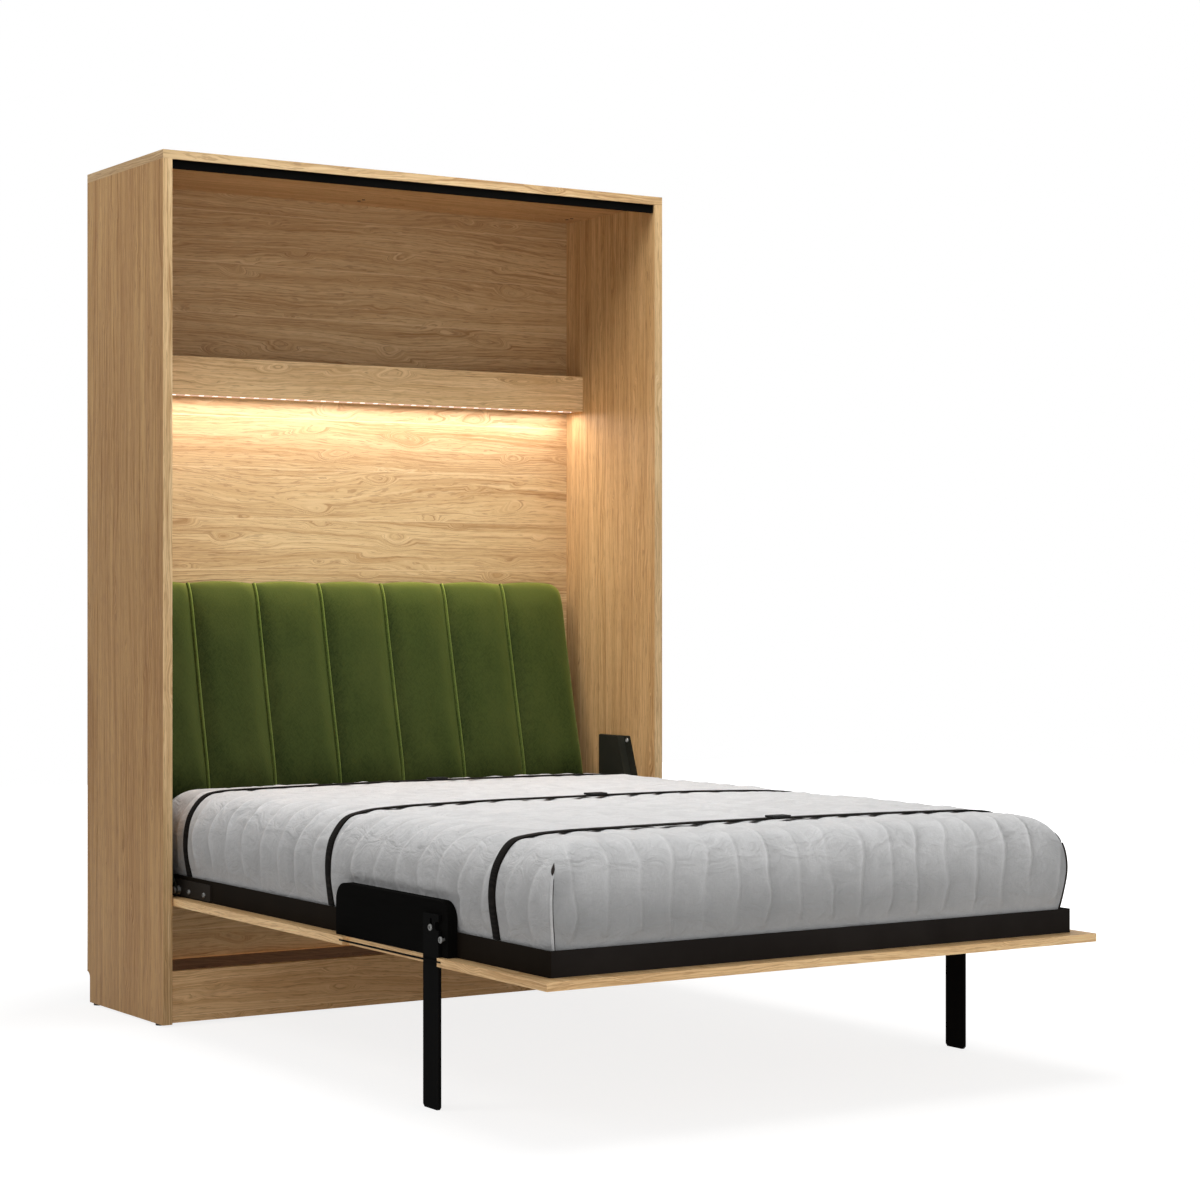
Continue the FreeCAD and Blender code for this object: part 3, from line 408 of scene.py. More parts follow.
def velvet(name="olive_velvet", light=1.0):
    """Olive velvet with short strokes across the pile, and painted light that makes it paler where
    it faces up or right.

    Painted shade makes the colour a little deeper towards its foot and its left end.
    """
    cloth = Finish(name, roughness=0.85, gloss=0.12)
    cloth.set("Sheen Weight", 0.45)
    cloth.set("Sheen Roughness", 0.38)
    cloth.set("Sheen Tint", (0.55, 0.68, 0.20))
    strokes = [cloth.specks(scale, 2.0, 0.6, 0.5, turn=(0, math.radians(degrees), 0))
               for scale, degrees in (((230, 230, 60), 30), ((260, 260, 70), -42))]
    strokes = cloth.calc("MINIMUM", *strokes)
    cloud = cloth.specks((9, 9, 5), 3.0, 0.55)
    pile = cloth.specks((1300, 1300, 1300), 1.0)
    # painted light: paler where the cloth faces up and to the right, darker where it faces away
    way = cloth.node("ShaderNodeVectorMath", operation="DOT_PRODUCT")
    cloth.feed(cloth.coords["Normal"], way.inputs[0])
    cloth.feed((0.55, -0.10, 0.84), way.inputs[1])
    painted_light_by_facing = cloth.ramp(way.outputs["Value"], (0.0, 0.0), (0.27, 0.25), (0.52, 0.55), (0.92, 1.0))

    def shade(*colour):
        return tuple(part * light * 2 for part in colour)

    deep = cloth.ramp(painted_light_by_facing, (0.0, shade(0.010, 0.018, 0.0035)), (0.25, shade(0.024, 0.038, 0.0080)),
                      (0.55, shade(0.048, 0.068, 0.0150)), (1.0, shade(0.175, 0.205, 0.0480)))
    base = cloth.layered(
        deep,
        (cloth.ramp(strokes, (0.34, 0.0), (0.52, 0.30)), shade(0.056, 0.078, 0.018)),
        (cloth.ramp(cloud, (0.38, 0.0), (0.68, 0.35)), shade(0.060, 0.076, 0.020)))
    # painted light and shade: lighter towards the top and the right end, deeper towards the foot
    # and the left end
    place = cloth.split(cloth.coords["Object"])
    height = cloth.calc("MULTIPLY_ADD", place["Z"], 3.333, -2.667)
    across = cloth.calc("MULTIPLY_ADD", place["X"], 0.741, 0.5)
    painted_light_by_height = cloth.ramp(height, (0.0, (0.80, 0.76, 0.70)), (0.5, (0.80, 0.75, 0.66)),
                             (0.77, (0.93, 0.83, 0.67)), (1.0, (1.0, 0.88, 0.69)))
    base = cloth.mix(1.0, base, painted_light_by_height, "MULTIPLY")
    painted_light_across = cloth.ramp(across, (0.0, 0.74), (0.5, 0.86), (1.0, 1.0))
    cloth.colour(cloth.mix(1.0, base, painted_light_across, "MULTIPLY"))
    under = cloth.bump(strokes, 0.0018, 0.55)
    cloth.bump(pile, 0.0004, 0.4, under)
    return cloth.material


def mattress_cloth(name="pale_knit_ticking", ribbed=True):
    """Pale knitted ticking: a fine cross weave, faint lengthwise lines, mottling and small creases.

    The ribbed cover carries its rib's number, how clearly the rib shows there and how much painted
    shade it takes; from these come each rib's narrow painted highlight on the crest and the painted
    shade past it.
    """
    cloth = Finish(name, roughness=0.9, gloss=0.15)
    cloth.set("Sheen Weight", 0.15)
    thread_x = cloth.specks((900, 110, 110), 2.0, 0.6)
    thread_y = cloth.specks((110, 900, 900), 2.0, 0.6)
    weave = cloth.calc("MAXIMUM", thread_x, thread_y)
    lines = cloth.specks((150, 6, 12), 2.0, 0.6)
    cloud = cloth.specks((12, 12, 12), 3.0)
    crease = cloth.specks((13, 13, 20), 4.0, 0.6, 1.4)
    base = cloth.layered(
        cloth.ramp(weave, (0.42, (0.66, 0.662, 0.665)), (0.66, (0.80, 0.802, 0.805))),
        (cloth.ramp(cloud, (0.35, 0.0), (0.7, 0.45)), (0.64, 0.642, 0.645)),
        (cloth.ramp(lines, (0.45, 0.0), (0.7, 0.3)), (0.62, 0.622, 0.625)),
        (cloth.ramp(crease, (0.44, 0.0), (0.60, 0.42)), (0.56, 0.562, 0.565)))
    if not ribbed:
        cloth.colour(base)
        cloth.bump(weave, 0.0006, 0.45)
        return cloth.material
    clear = cloth.attribute("rib_clear")
    share = cloth.calc("FRACT", cloth.attribute("rib_place"))
    ridge = cloth.ramp(share, (0.0, 0.34), (0.34, 0.40), (0.43, 0.58), (0.50, 1.0), (0.565, 0.42),
                       (0.62, 0.0), (0.78, 0.12), (1.0, 0.34))
    # painted highlight along each rib's crest and painted shade past it, over the real ridges of
    # the bump
    pale = cloth.times(cloth.ramp(ridge, (0.42, 0.0), (1.0, 1.0)), clear, 0.60)
    dark = cloth.times(cloth.ramp(ridge, (0.0, 1.0), (0.42, 0.35)), clear, 0.50)
    # painted shade wherever the cover's face_shade mark is high
    low_shade = cloth.times(cloth.attribute("face_shade"), 0.75)
    cloth.colour(cloth.layered(base, (dark, (0.38, 0.382, 0.385)), (pale, (0.90, 0.902, 0.905)),
                               (low_shade, (0.32, 0.325, 0.33))))
    under = None
    for height, distance, strength in ((weave, 0.0006, 0.45), (lines, 0.0012, 0.4),
                                       (crease, 0.0200, 0.45),
                                       (cloth.times(ridge, clear), 0.0042, 0.8)):
        under = cloth.bump(height, distance, strength, under)
    return cloth.material


def webbing():
    """Black woven elastic: ribs across the strap and a paler thread here and there."""
    cloth = Finish("black_elastic", roughness=0.8, gloss=0.03)
    cloth.set("Sheen Weight", 0.03)
    rib = cloth.node("ShaderNodeTexWave", wave_type="BANDS", bands_direction="X")
    for name, value in (("Scale", 1.0), ("Distortion", 0.6),
                        ("Vector", cloth.spread((190, 190, 190)))):
        cloth.feed(value, rib.inputs[name])
    thread = cloth.specks((700, 150, 700), 2.0, 0.6)
    mixed = cloth.times(rib.outputs[1], thread)
    cloth.colour(cloth.ramp(mixed, (0.1, (0.0050, 0.0044, 0.0040)), (0.6, (0.017, 0.0140, 0.0120))))
    cloth.bump(mixed, 0.0005, 0.6)
    return cloth.material


def seam_shade_finish():
    """Near-black painted shade for the seams and the small open gaps at their tops."""
    inside = Finish("painted_seam_shade", roughness=0.95)
    speckle = inside.specks((400, 400, 400))
    inside.colour(inside.ramp(speckle, (0.3, (0.006, 0.003, 0.002)), (0.7, (0.014, 0.007, 0.004))))
    return inside.material


# ---------------------------------------------------------------- small mesh helpers

def keep(name, mesh, material, body=None, slot=None, replaces=()):
    """Turns a bmesh into a piece that rides on its body."""
    data = bpy.data.meshes.new(name)
    mesh.to_mesh(data)
    mesh.free()
    piece = bpy.data.objects.new(name, data)
    bpy.context.collection.objects.link(piece)
    data.materials.append(material)
    if body:
        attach(piece, body)
    if replaces:
        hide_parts(*replaces)
    return piece


def add_part(mesh, part):
    """Moves a small bmesh into a larger one."""
    data = bpy.data.meshes.new("one_part")
    part.to_mesh(data)
    part.free()
    mesh.from_mesh(data)
    bpy.data.meshes.remove(data)


def crisp(mesh, degrees):
    """Shades the mesh smooth but for edges sharper than this."""
    for face in mesh.faces:
        face.smooth = True
    for edge in mesh.edges:
        if len(edge.link_faces) == 2 and edge.calc_face_angle() > math.radians(degrees):
            edge.smooth = False


def sweep(mesh, outline, stations):
    """Pushes an outline through the stations, one matrix each, with both ends closed."""
    corners = [mesh.verts.new(stations[0] @ Vector((u, v, 0))) for u, v in outline]
    start = face = mesh.faces.new(corners)
    for before, after in zip(stations, stations[1:]):
        made = bmesh.ops.extrude_face_region(mesh, geom=[face])["geom"]
        if face != start:
            bmesh.ops.delete(mesh, geom=[face], context="FACES_ONLY")
        fresh = [part for part in made if isinstance(part, bmesh.types.BMVert)]
        face = next(part for part in made if isinstance(part, bmesh.types.BMFace))
        bmesh.ops.transform(mesh, matrix=after @ before.inverted(), verts=fresh)


def ways_along(points):
    """The path's direction at each of its points."""
    return [(ahead - behind).normalized()
            for behind, ahead in zip(points[:1] + points[:-1], points[1:] + points[-1:])]


def stations_on(points, normals):
    """Matrices along a path: u across the path, v along its normal."""
    found = []
    for point, way, normal in zip(points, ways_along(points), normals):
        side = way.cross(normal).normalized()
        turn = Matrix((side, side.cross(way), way)).transposed().to_4x4()
        found.append(Matrix.Translation(point) @ turn)
    return found


def relaxed(points, rounds):
    """A path evened out between its two ends."""
    for _ in range(rounds):
        inner = [before * 0.25 + here * 0.5 + after * 0.25
                 for before, here, after in zip(points, points[1:], points[2:])]
        points = [points[0]] + inner + [points[-1]]
    return points


def step_of(place, count):
    """Which of the count even steps from -1 to 1 this place lies on."""
    return np.round((np.asarray(place) + 1) / 2 * count).astype(int)


def round_outline(radius, count=10):
    return [(radius * math.cos(2 * math.pi * k / count), radius * math.sin(2 * math.pi * k / count))
            for k in range(count)]


def surface_of(piece):
    """The piece's surface, for rays that look for it."""
    data = piece.data
    return BVHTree.FromPolygons([vert.co for vert in data.vertices],
                                [tuple(face.vertices) for face in data.polygons])


def keep_swept(name, mesh, degrees, *about):
    """Finishes what sweep made and keeps it as a piece."""
    bmesh.ops.recalc_face_normals(mesh, faces=mesh.faces[:])
    crisp(mesh, degrees)
    keep(name, mesh, *about)


def smooth_step(value, low, high):
    share = np.clip((value - low) / (high - low), 0, 1)
    return share * share * (3 - 2 * share)


def bell(distance, width):
    """A weight of 1 at no distance that fades past the width."""
    return np.exp(-(distance / width) ** 2)


def points_of(data, what="co"):
    """The mesh's points as rows, or with "normal" its normals."""
    flat = np.empty(len(data.vertices) * 3)
    data.vertices.foreach_get(what, flat)
    return flat.reshape(-1, 3)


def set_points(data, points):
    data.vertices.foreach_set("co", points.reshape(-1))
    data.update()


def mark(data, name, values):
    """Keeps one number per vertex for the piece's material."""
    data.attributes.new(name, "FLOAT", "POINT").data.foreach_set("value", values)


def ripple(points, size, seed=0.0):
    """Smooth noise from -1 to 1 at each point, with lumps of about this size."""
    scaled = points / np.asarray(size)
    return np.array([noise.noise(Vector((x + seed, y - seed, z))) for x, y, z in scaled])


def inflate(piece, held, pressure, cap, frames=20):
    """Cloth simulation with pressure and no gravity, where no point moves further than cap.

    held is each point's pin weight.
    """
    before = points_of(piece.data)
    group = piece.vertex_groups.new(name="held")
    for weight in sorted(set(np.round(held, 2))):
        if weight > 0:
            group.add([int(k) for k in np.nonzero(np.round(held, 2) == weight)[0]],
                      float(weight), "REPLACE")
    cloth = piece.modifiers.new("Cloth", "CLOTH")
    for setting, value in (("quality", 5), ("mass", 0.3), ("tension_stiffness", 20),
                           ("compression_stiffness", 20), ("bending_stiffness", 2.0),
                           ("use_pressure", True), ("uniform_pressure_force", pressure),
                           ("vertex_group_mass", "held")):
        setattr(cloth.settings, setting, value)
    cloth.settings.effector_weights.gravity = 0
    cloth.collision_settings.use_collision = False
    for number in range(1, frames + 1):
        bpy.context.scene.frame_set(number)
    shaped = piece.evaluated_get(bpy.context.evaluated_depsgraph_get())
    moved = points_of(shaped.data) - before
    piece.modifiers.remove(cloth)
    piece.vertex_groups.remove(group)
    bpy.context.scene.frame_set(1)
    reach = np.linalg.norm(moved, axis=1, keepdims=True)
    set_points(piece.data, before + moved * (cap / np.maximum(reach, cap)))


def divide(piece, levels):
    """Applies Catmull-Clark subdivision to the piece."""
    finer = piece.modifiers.new("Subdivision", "SUBSURF")
    finer.levels = finer.render_levels = levels
    shaped = piece.evaluated_get(bpy.context.evaluated_depsgraph_get())
    data = bpy.data.meshes.new_from_object(shaped)
    piece.modifiers.remove(finer)
    piece.data = data
    data.polygons.foreach_set("use_smooth", [True] * len(data.polygons))


# ---------------------------------------------------------------- mattress

# half is across the bed, reach along it; the bulge is how far the belly stands past the rails
mattress_low, mattress_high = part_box("mattress")
mattress_bulge = 0.0147
mattress_half = mattress_high.x - mattress_bulge
mattress_foot = mattress_low.y + mattress_bulge
mattress_head = mattress_high.y - mattress_bulge
mattress_middle = (mattress_foot + mattress_head) / 2
mattress_reach = (mattress_head - mattress_foot) / 2
rail_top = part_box("side_rail_left")[1].z
belly_height = mattress_low.z + 0.129
shoulder = 0.080
crown_edge = mattress_high.z - 0.014
rib_rise = 0.0048
top_ribs = 17
side_ribs = 20
rib_steps = 3
rib_width = 2 * mattress_half / top_ribs
side_rib_width = 2 * mattress_reach / side_ribs
strap_names = ("strap_foot", "strap_middle", "strap_head")
strap_lines = [sum((corner.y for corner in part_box(name))) / 2 for name in strap_names]


def side_out(height):
    """How far the side stands out of the rails' line at this height below the belly."""
    share = np.clip((height - rail_top) / (belly_height - rail_top), 0, 1)
    return mattress_bulge * np.sin(share * math.pi / 2)


def pillow(a, b, c):
    """Maps a box from -1 to 1 in a and b and 0 to 1 in c onto the mattress's form."""
    share = np.clip(c / 0.5, 0, 1)
    angle = np.clip((c - 0.5) / 0.5, 0, 1) * math.pi / 2
    height = mattress_low.z + share * (belly_height - mattress_low.z)
    height = height + (crown_edge - belly_height) * np.sin(angle)
    out = np.where(c <= 0.5, side_out(height), mattress_bulge - shoulder * (1 - np.cos(angle)))
    out = out - 0.010 * np.clip(1 - c / 0.1, 0, 1)
    half_x = mattress_half + out - 0.003
    half_y = mattress_reach + out - 0.003
    x, y = a * half_x, b * half_y
    corner_radius = 0.032
    core_x = np.clip(x, -half_x + corner_radius, half_x - corner_radius)
    core_y = np.clip(y, -half_y + corner_radius, half_y - corner_radius)
    dx, dy = x - core_x, y - core_y
    length = np.maximum(np.hypot(dx, dy), 1e-9)
    pull = np.where((dx != 0) & (dy != 0), np.maximum(np.abs(dx), np.abs(dy)) / length, 1.0)
    x, y = core_x + dx * pull, core_y + dy * pull
    crown = (mattress_high.z - crown_edge - 0.004) * (1 - a ** 4) * (1 - b ** 4)
    height = height + np.where(c > 0.999, crown, 0)
    return np.stack([x, mattress_middle + y, height], axis=1)


def crest(place):
    """A narrow ridge once per rib: a late rise, a steeper fall and a hollow past it."""
    share = place - np.floor(place)
    rise = np.clip(share / 0.50, 0, 1) ** 6.0
    fall = 1 - smooth_step(share, 0.50, 0.64)
    return np.where(share < 0.50, rise, fall) - 0.40 * bell(share - 0.72, 0.10)


def mattress(material):
    """The cover: a box in the mattress's form, blown up between its rib lines."""
    mesh = bmesh.new()
    bmesh.ops.create_cube(mesh, size=2)

    def cut(axis, count):
        for k in range(1, count):
            way = Matrix.Identity(3)[axis]
            whole = mesh.verts[:] + mesh.edges[:] + mesh.faces[:]
            bmesh.ops.bisect_plane(mesh, geom=whole, plane_co=way * (2 * k / count - 1),
                                   plane_no=way)

    across, along = top_ribs * rib_steps, side_ribs * rib_steps
    cut(2, 10)
    cut(0, across)
    cut(1, along)
    piece = keep("mattress_cover", mesh, material, "bed", "mattress_fabric", ("mattress",))
    box = points_of(piece.data)
    a, b, c = box[:, 0], box[:, 1], (box[:, 2] + 1) / 2
    points = pillow(a, b, c)
    set_points(piece.data, points)
    step = np.where(np.abs(a) > 0.999, step_of(b, along), step_of(a, across))
    rib_pin, strap_pin = 0.75, 0.9
    held = np.where(step % rib_steps == 0, rib_pin, 0)
    for line in strap_lines:
        held = np.maximum(held, np.where(np.abs(points[:, 1] - line) < 0.015, strap_pin, 0))
    held = np.where(c < 0.16, 1.0, held)
    inflate(piece, held, pressure=4.0, cap=0.007)
    divide(piece, 2)
    shape_quilt(piece)
    flatten_base(piece)
    return piece


def shape_quilt(piece):
    """Ribs, crest lines, strap dips and drag wrinkles, pressed in along the normals.

    The cover's rib numbers, their clearness and its painted shade are kept for its material.
    """
    points = points_of(piece.data)
    normals = points_of(piece.data, "normal")
    x, y, z = points.T
    upward = smooth_step(normals[:, 2], 0.25, 0.85)
    wobble = ripple(points, (0.16, 0.30, 0.16), 3.1) + 0.6 * ripple(points, (0.06, 0.08, 0.06), 6.7)
    inward = np.minimum(mattress_half - np.abs(x), mattress_reach - np.abs(y - mattress_middle))
    from_edge = smooth_step(inward, 0.02, 0.17)
    to_side = mattress_half + mattress_bulge - np.abs(x)
    to_end = mattress_reach + mattress_bulge - np.abs(y - mattress_middle)
    lies_on_side = to_side < to_end
    rib = (x + mattress_half) / rib_width + 0.20 * wobble
    lean = 0.9 * smooth_step(z, belly_height, mattress_high.z)
    side_rib = (y - mattress_foot) / side_rib_width + 0.20 * wobble + 0.3 * lean
    lines = np.where(lies_on_side, side_rib, rib - 0.3 * lean)
    at_corner = 1 - smooth_step(np.abs(to_side - to_end), 0.004, 0.045)
    above_rails = smooth_step(z, rail_top + 0.002, rail_top + 0.04)
    uneven = 0.68 + 0.7 * ripple(points, (0.12, 0.12, 0.10), 8.7)
    clear = (1 - upward * from_edge) * above_rails * (1 - at_corner)
    lift = rib_rise * crest(lines) * clear * uneven
    mark(piece.data, "rib_place", lines)
    mark(piece.data, "rib_clear", clear * np.clip(uneven, 0.15, 1.1))
    # painted shade: darker low on the faces, beside the corners on the foot and head faces, more
    # towards the foot's left, and a little over the whole top
    beside_corner = bell(to_side, 0.065) * (1 - lies_on_side) * above_rails
    foot_end = 1.0 - 0.28 * smooth_step(x, -0.3, 0.6)
    low_down = (1 - smooth_step(z, 0.41, 0.53)) * np.where(lies_on_side, 0.60, foot_end)
    shade = np.maximum(beside_corner * (1 - upward), low_down) + 0.15 * upward
    mark(piece.data, "face_shade", np.clip(shade, 0, 1))
    hump = np.abs(np.sin(np.pi * rib)) ** 0.7
    lift += upward * from_edge * 0.0022 * (hump - 0.7)
    lift += wrinkles(points, upward) * above_rails
    lift -= strap_press(y, upward, above_rails, hump)
    on_seam = smooth_step(z, rail_top, rail_top + 0.02) * (1 - smooth_step(z, 0.525, 0.555))
    lift -= 0.0030 * bell(np.hypot(to_side - 0.012, to_end - 0.012), 0.012) * on_seam
    set_points(piece.data, clear_of_frame(points + normals * lift[:, None]))


def wrinkles(points, upward):
    """Slow unevenness, slanting drag wrinkles and fine upright ones on the sides."""
    x, y, z = points.T
    turned = np.stack([x * 0.8 + y * 0.6, y * 0.8 - x * 0.6, z], axis=1)
    return (0.0026 * ripple(points, (0.10, 0.15, 0.16), 5.3)
            + 0.0017 * ripple(turned, (0.03, 0.16, 0.07), 1.9)
            + 0.0009 * ripple(points, (0.022, 0.026, 0.12), 4.4) * (1 - upward))


def strap_press(y, upward, above_rails, hump):
    """How deep the cover is pressed under each strap and, on top, beside it."""
    press = np.zeros_like(y)
    for line in strap_lines:
        near = np.abs(y - line)
        under, beside = bell(near, 0.015), bell(near - 0.030, 0.016)
        press += above_rails * under * (0.0016 * upward + 0.0022 * (1 - upward))
        press += upward * under * 0.0050 * (1 - hump)
        press += upward * beside * (0.0012 * hump + 0.0035 * (1 - hump) ** 0.7)
    return press


def clear_of_frame(points):
    """Holds the cover's points off the guard boards, within the rails and over the base."""
    low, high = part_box("guard_board_left")
    guard_clear = -high.x - 0.0015
    beside = smooth_step(points[:, 1], low.y - 0.03, low.y - 0.006)
    beside *= 1 - smooth_step(points[:, 1], high.y + 0.006, high.y + 0.03)
    beside *= 1 - smooth_step(points[:, 2], high.z + 0.002, high.z + 0.03)
    room = mattress_high.x + (guard_clear - mattress_high.x) * beside
    points[:, 0] = np.clip(points[:, 0], -room, room)
    in_rails = points[:, 2] < rail_top + 0.002
    points[in_rails, 0] = np.clip(points[in_rails, 0], -mattress_half, mattress_half)
    points[in_rails, 1] = np.clip(points[in_rails, 1], mattress_foot, mattress_head)
    points[:, 2] = np.maximum(points[:, 2], mattress_low.z)
    return points


def flatten_base(piece):
    """The flat underside is one face."""
    mesh = bmesh.new()
    mesh.from_mesh(piece.data)
    base = [face for face in mesh.faces
            if all(vert.co.z < mattress_low.z + 0.0015 for vert in face.verts)]
    for face in base:
        for vert in face.verts:
            vert.co.z = mattress_low.z
    for face in bmesh.ops.dissolve_faces(mesh, faces=base)["region"]:
        face.smooth = False
    mesh.to_mesh(piece.data)
    mesh.free()


def corner_seams(cover, material, dark):
    """Piping down the left corners and a dark seam of painted shade down the right ones, under a
    small open gap.

    A thin line of painted shade runs beside the piping, and the right seams and the open gaps are
    painted shade too.
    """
    piping, painted_shade_seams = bmesh.new(), bmesh.new()
    seam_radius, line_radius, gap_radius = 0.0030, 0.0009, 0.0038
    inset = 0.10
    closed = 25

    def seam_line(core, way, off):
        points = []
        for height in np.linspace(rail_top - 0.004, 0.538, closed + 5):
            hit = cover.ray_cast(core + Vector((0, 0, height)), way)[0]
            points.append(hit + way * off)
        return relaxed(points, 2)

    def seam(mesh, radius, sides, points):
        sweep(mesh, round_outline(radius, sides), stations_on(points, [way] * len(points)))

    for side, end in ((-1, -1), (1, -1), (-1, 1), (1, 1)):
        core = Vector((side * (mattress_half - inset),
                       mattress_middle + end * (mattress_reach - inset), 0))
        way = Vector((side, end, 0)).normalized()
        points = seam_line(core, way, 0.0012)
        seam(painted_shade_seams if side > 0 else piping, seam_radius, 10, points[:closed + 1])
        if side < 0:
            beside = seam_line(core + Vector((0.0055, 0, 0)), way, -0.0004)
            seam(painted_shade_seams, line_radius, 8, beside[:closed])
        widths = (0.12, 0.80, 1.0, 0.60, 0.10)
        open_end = [station @ Matrix.Diagonal((width, width, 1, 1))
                    for station, width in zip(stations_on(points[closed:], [way] * 5), widths)]
        sweep(painted_shade_seams, [(u, v * 0.40) for u, v in round_outline(gap_radius)], open_end)
    keep_swept("mattress_corner_piping", piping, 60, material, "bed", "mattress_fabric")
    keep_swept("mattress_seam_painted_shade", painted_shade_seams, 60, dark, "bed", "mattress_fabric")


# ---------------------------------------------------------------- straps and buckles

def strap_path(cover, line):
    """Points and normals of a strap over the mattress, from one rail's top to the other's.

    Rays look for the cover from inside, to the left side, round the shoulder and up to the
    top, and the same mirrored. The strap then bridges the hollows between the ribs.
    """
    side_rise = np.linspace(rail_top + 0.001, 0.520, 15)
    shoulder_core = (-0.612, 0.512)
    section = [((-1, 0), (-0.60, height)) for height in side_rise]
    section += [((-math.cos(angle), math.sin(angle)), shoulder_core)
                for angle in np.radians(np.linspace(4, 86, 12))]
    section += [((0, 1), (place, 0.50)) for place in np.linspace(-0.604, 0, 52)]
    section += [((-way[0], way[1]), (-start[0], start[1])) for way, start in section[-2::-1]]
    points = []
    for (out_x, out_z), (start_x, start_z) in section:
        reaches = []
        for offset in (-0.008, 0, 0.008):
            hit = cover.ray_cast(Vector((start_x, line + offset, start_z)),
                                 Vector((out_x, 0, out_z)))[0]
            reaches.append((hit.x - start_x) * out_x + (hit.z - start_z) * out_z)
        reach = 0.6 * max(reaches) + 0.4 * sum(reaches) / 3
        x, z = start_x + out_x * reach, start_z + out_z * reach
        points.append(Vector((x, line + 0.0022 * math.sin(x * 9.0 + line * 7), z)))
    on_top = [point for point in points if abs(point.x) < 0.62 and point.z > belly_height]
    bridge = []
    for point in on_top:
        while len(bridge) > 1 and ((bridge[-1].x - bridge[-2].x) * (point.z - bridge[-2].z)
                                   >= (bridge[-1].z - bridge[-2].z) * (point.x - bridge[-2].x)):
            bridge.pop()
        bridge.append(point.copy())
    for point in on_top:
        high = np.interp(point.x, [stop.x for stop in bridge], [stop.z for stop in bridge])
        point.z = float(high) + 0.0004
    points = relaxed(points, 3)
    return points, [Vector((-way.z, 0, way.x)) for way in ways_along(points)]


strap_half = 0.0133
strap_thick = 0.0032
half_outline = [(strap_half - 0.0008, 0), (strap_half, 0.0006), (strap_half, 0.0024),
                (strap_half - 0.0012, strap_thick), (0.004, strap_thick * 1.08)]
strap_outline = half_outline + [(-u, v) for u, v in reversed(half_outline)]


def straps(cover, material):
    """Three elastics; returns each one's height beside the bed's middle, for its buckle."""
    tops = []
    for name, line in zip(strap_names, strap_lines):
        points, normals = strap_path(cover, line)
        mesh = bmesh.new()
        sweep(mesh, strap_outline, stations_on(points, normals))
        keep_swept(name.replace("strap", "elastic"), mesh, 50, material, "bed", "black_webbing",
                   (name,))
        tops.append(max(point.z for point in points if 0.0 < point.x < 0.06) + strap_thick)
    return tops


def buckles(tops, material):
    """Three-slot ladder buckles, one on each strap right of the middle."""
    mesh = bmesh.new()
    low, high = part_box("buckles")
    across = np.array((0.0, 0.005, 0.0143, 0.0193, 0.0287, 0.0337, 0.0430, 0.048))
    across = low.x + across * (high.x - low.x) / across[-1]
    deep = (-0.0152, -0.0116, 0.0116, 0.0152)
    plate_thick, rim_round = 0.0046, 0.0007
    for line, top in zip(strap_lines, tops):
        plate = bmesh.new()
        bmesh.ops.create_grid(plate, x_segments=7, y_segments=3, size=1)
        for vert in plate.verts:
            i, j = step_of(vert.co.x, 7), step_of(vert.co.y, 3)
            vert.co = Vector((across[i], line + deep[j], top + 0.0004))
        slot_middles = (across[1:6:2] + across[2:7:2]) / 2
        slots = [face for face in plate.faces
                 if abs(face.calc_center_median().y - line) < 0.006
                 and np.abs(slot_middles - face.calc_center_median().x).min() < 0.003]
        bmesh.ops.delete(plate, geom=slots, context="FACES")
        bmesh.ops.solidify(plate, geom=plate.faces[:], thickness=-plate_thick)
        bmesh.ops.recalc_face_normals(plate, faces=plate.faces[:])
        rims = [edge for edge in plate.edges if edge.calc_face_angle(0) > 1.0]
        bmesh.ops.bevel(plate, geom=rims, offset=rim_round, segments=2, profile=0.5,
                        affect="EDGES", material=-1)
        add_part(mesh, plate)
    crisp(mesh, 40)
    keep("ladder_buckles", mesh, material, "bed", "black_plastic", ("buckles",))


# ---------------------------------------------------------------- headboard

# the cushion leans: climb is along up_slope from its foot, and out is along off_slope
slope_foot = Vector((0, 0.95199, 0.51085))
up_slope = Vector((0, 0.22835, 0.97358))
off_slope = Vector((0, -0.97358, 0.22835))
board_half = 0.675
channel_count = 7
channel = 2 * board_half / channel_count
seam_out = 0.0262
crown_out = 0.0385
rim_out = 0.0122
cushion_foot = 0.020
cushion_top = 0.600
arch_rise = 0.007
end_half = 0.6845
end_corner = 0.036


def scallop_top(x):
    """How high the cushion climbs here: a low arch to each channel, and rounded end corners."""
    share = ((x + board_half) / channel) % 1.0
    top = cushion_top + arch_rise * (1 - (2 * share - 1) ** 2)
    past = np.clip((np.abs(x) - (end_half - end_corner)) / end_corner, 0, 1)
    return top - end_corner * (1 - np.sqrt(1 - past ** 2 * 0.998))


def rolled(distance, radius):
    """A rounded edge's rise from 0 to 1 over its radius."""
    share = np.clip(distance / radius, 0, 1)
    return np.sqrt(1 - (1 - share) ** 2)


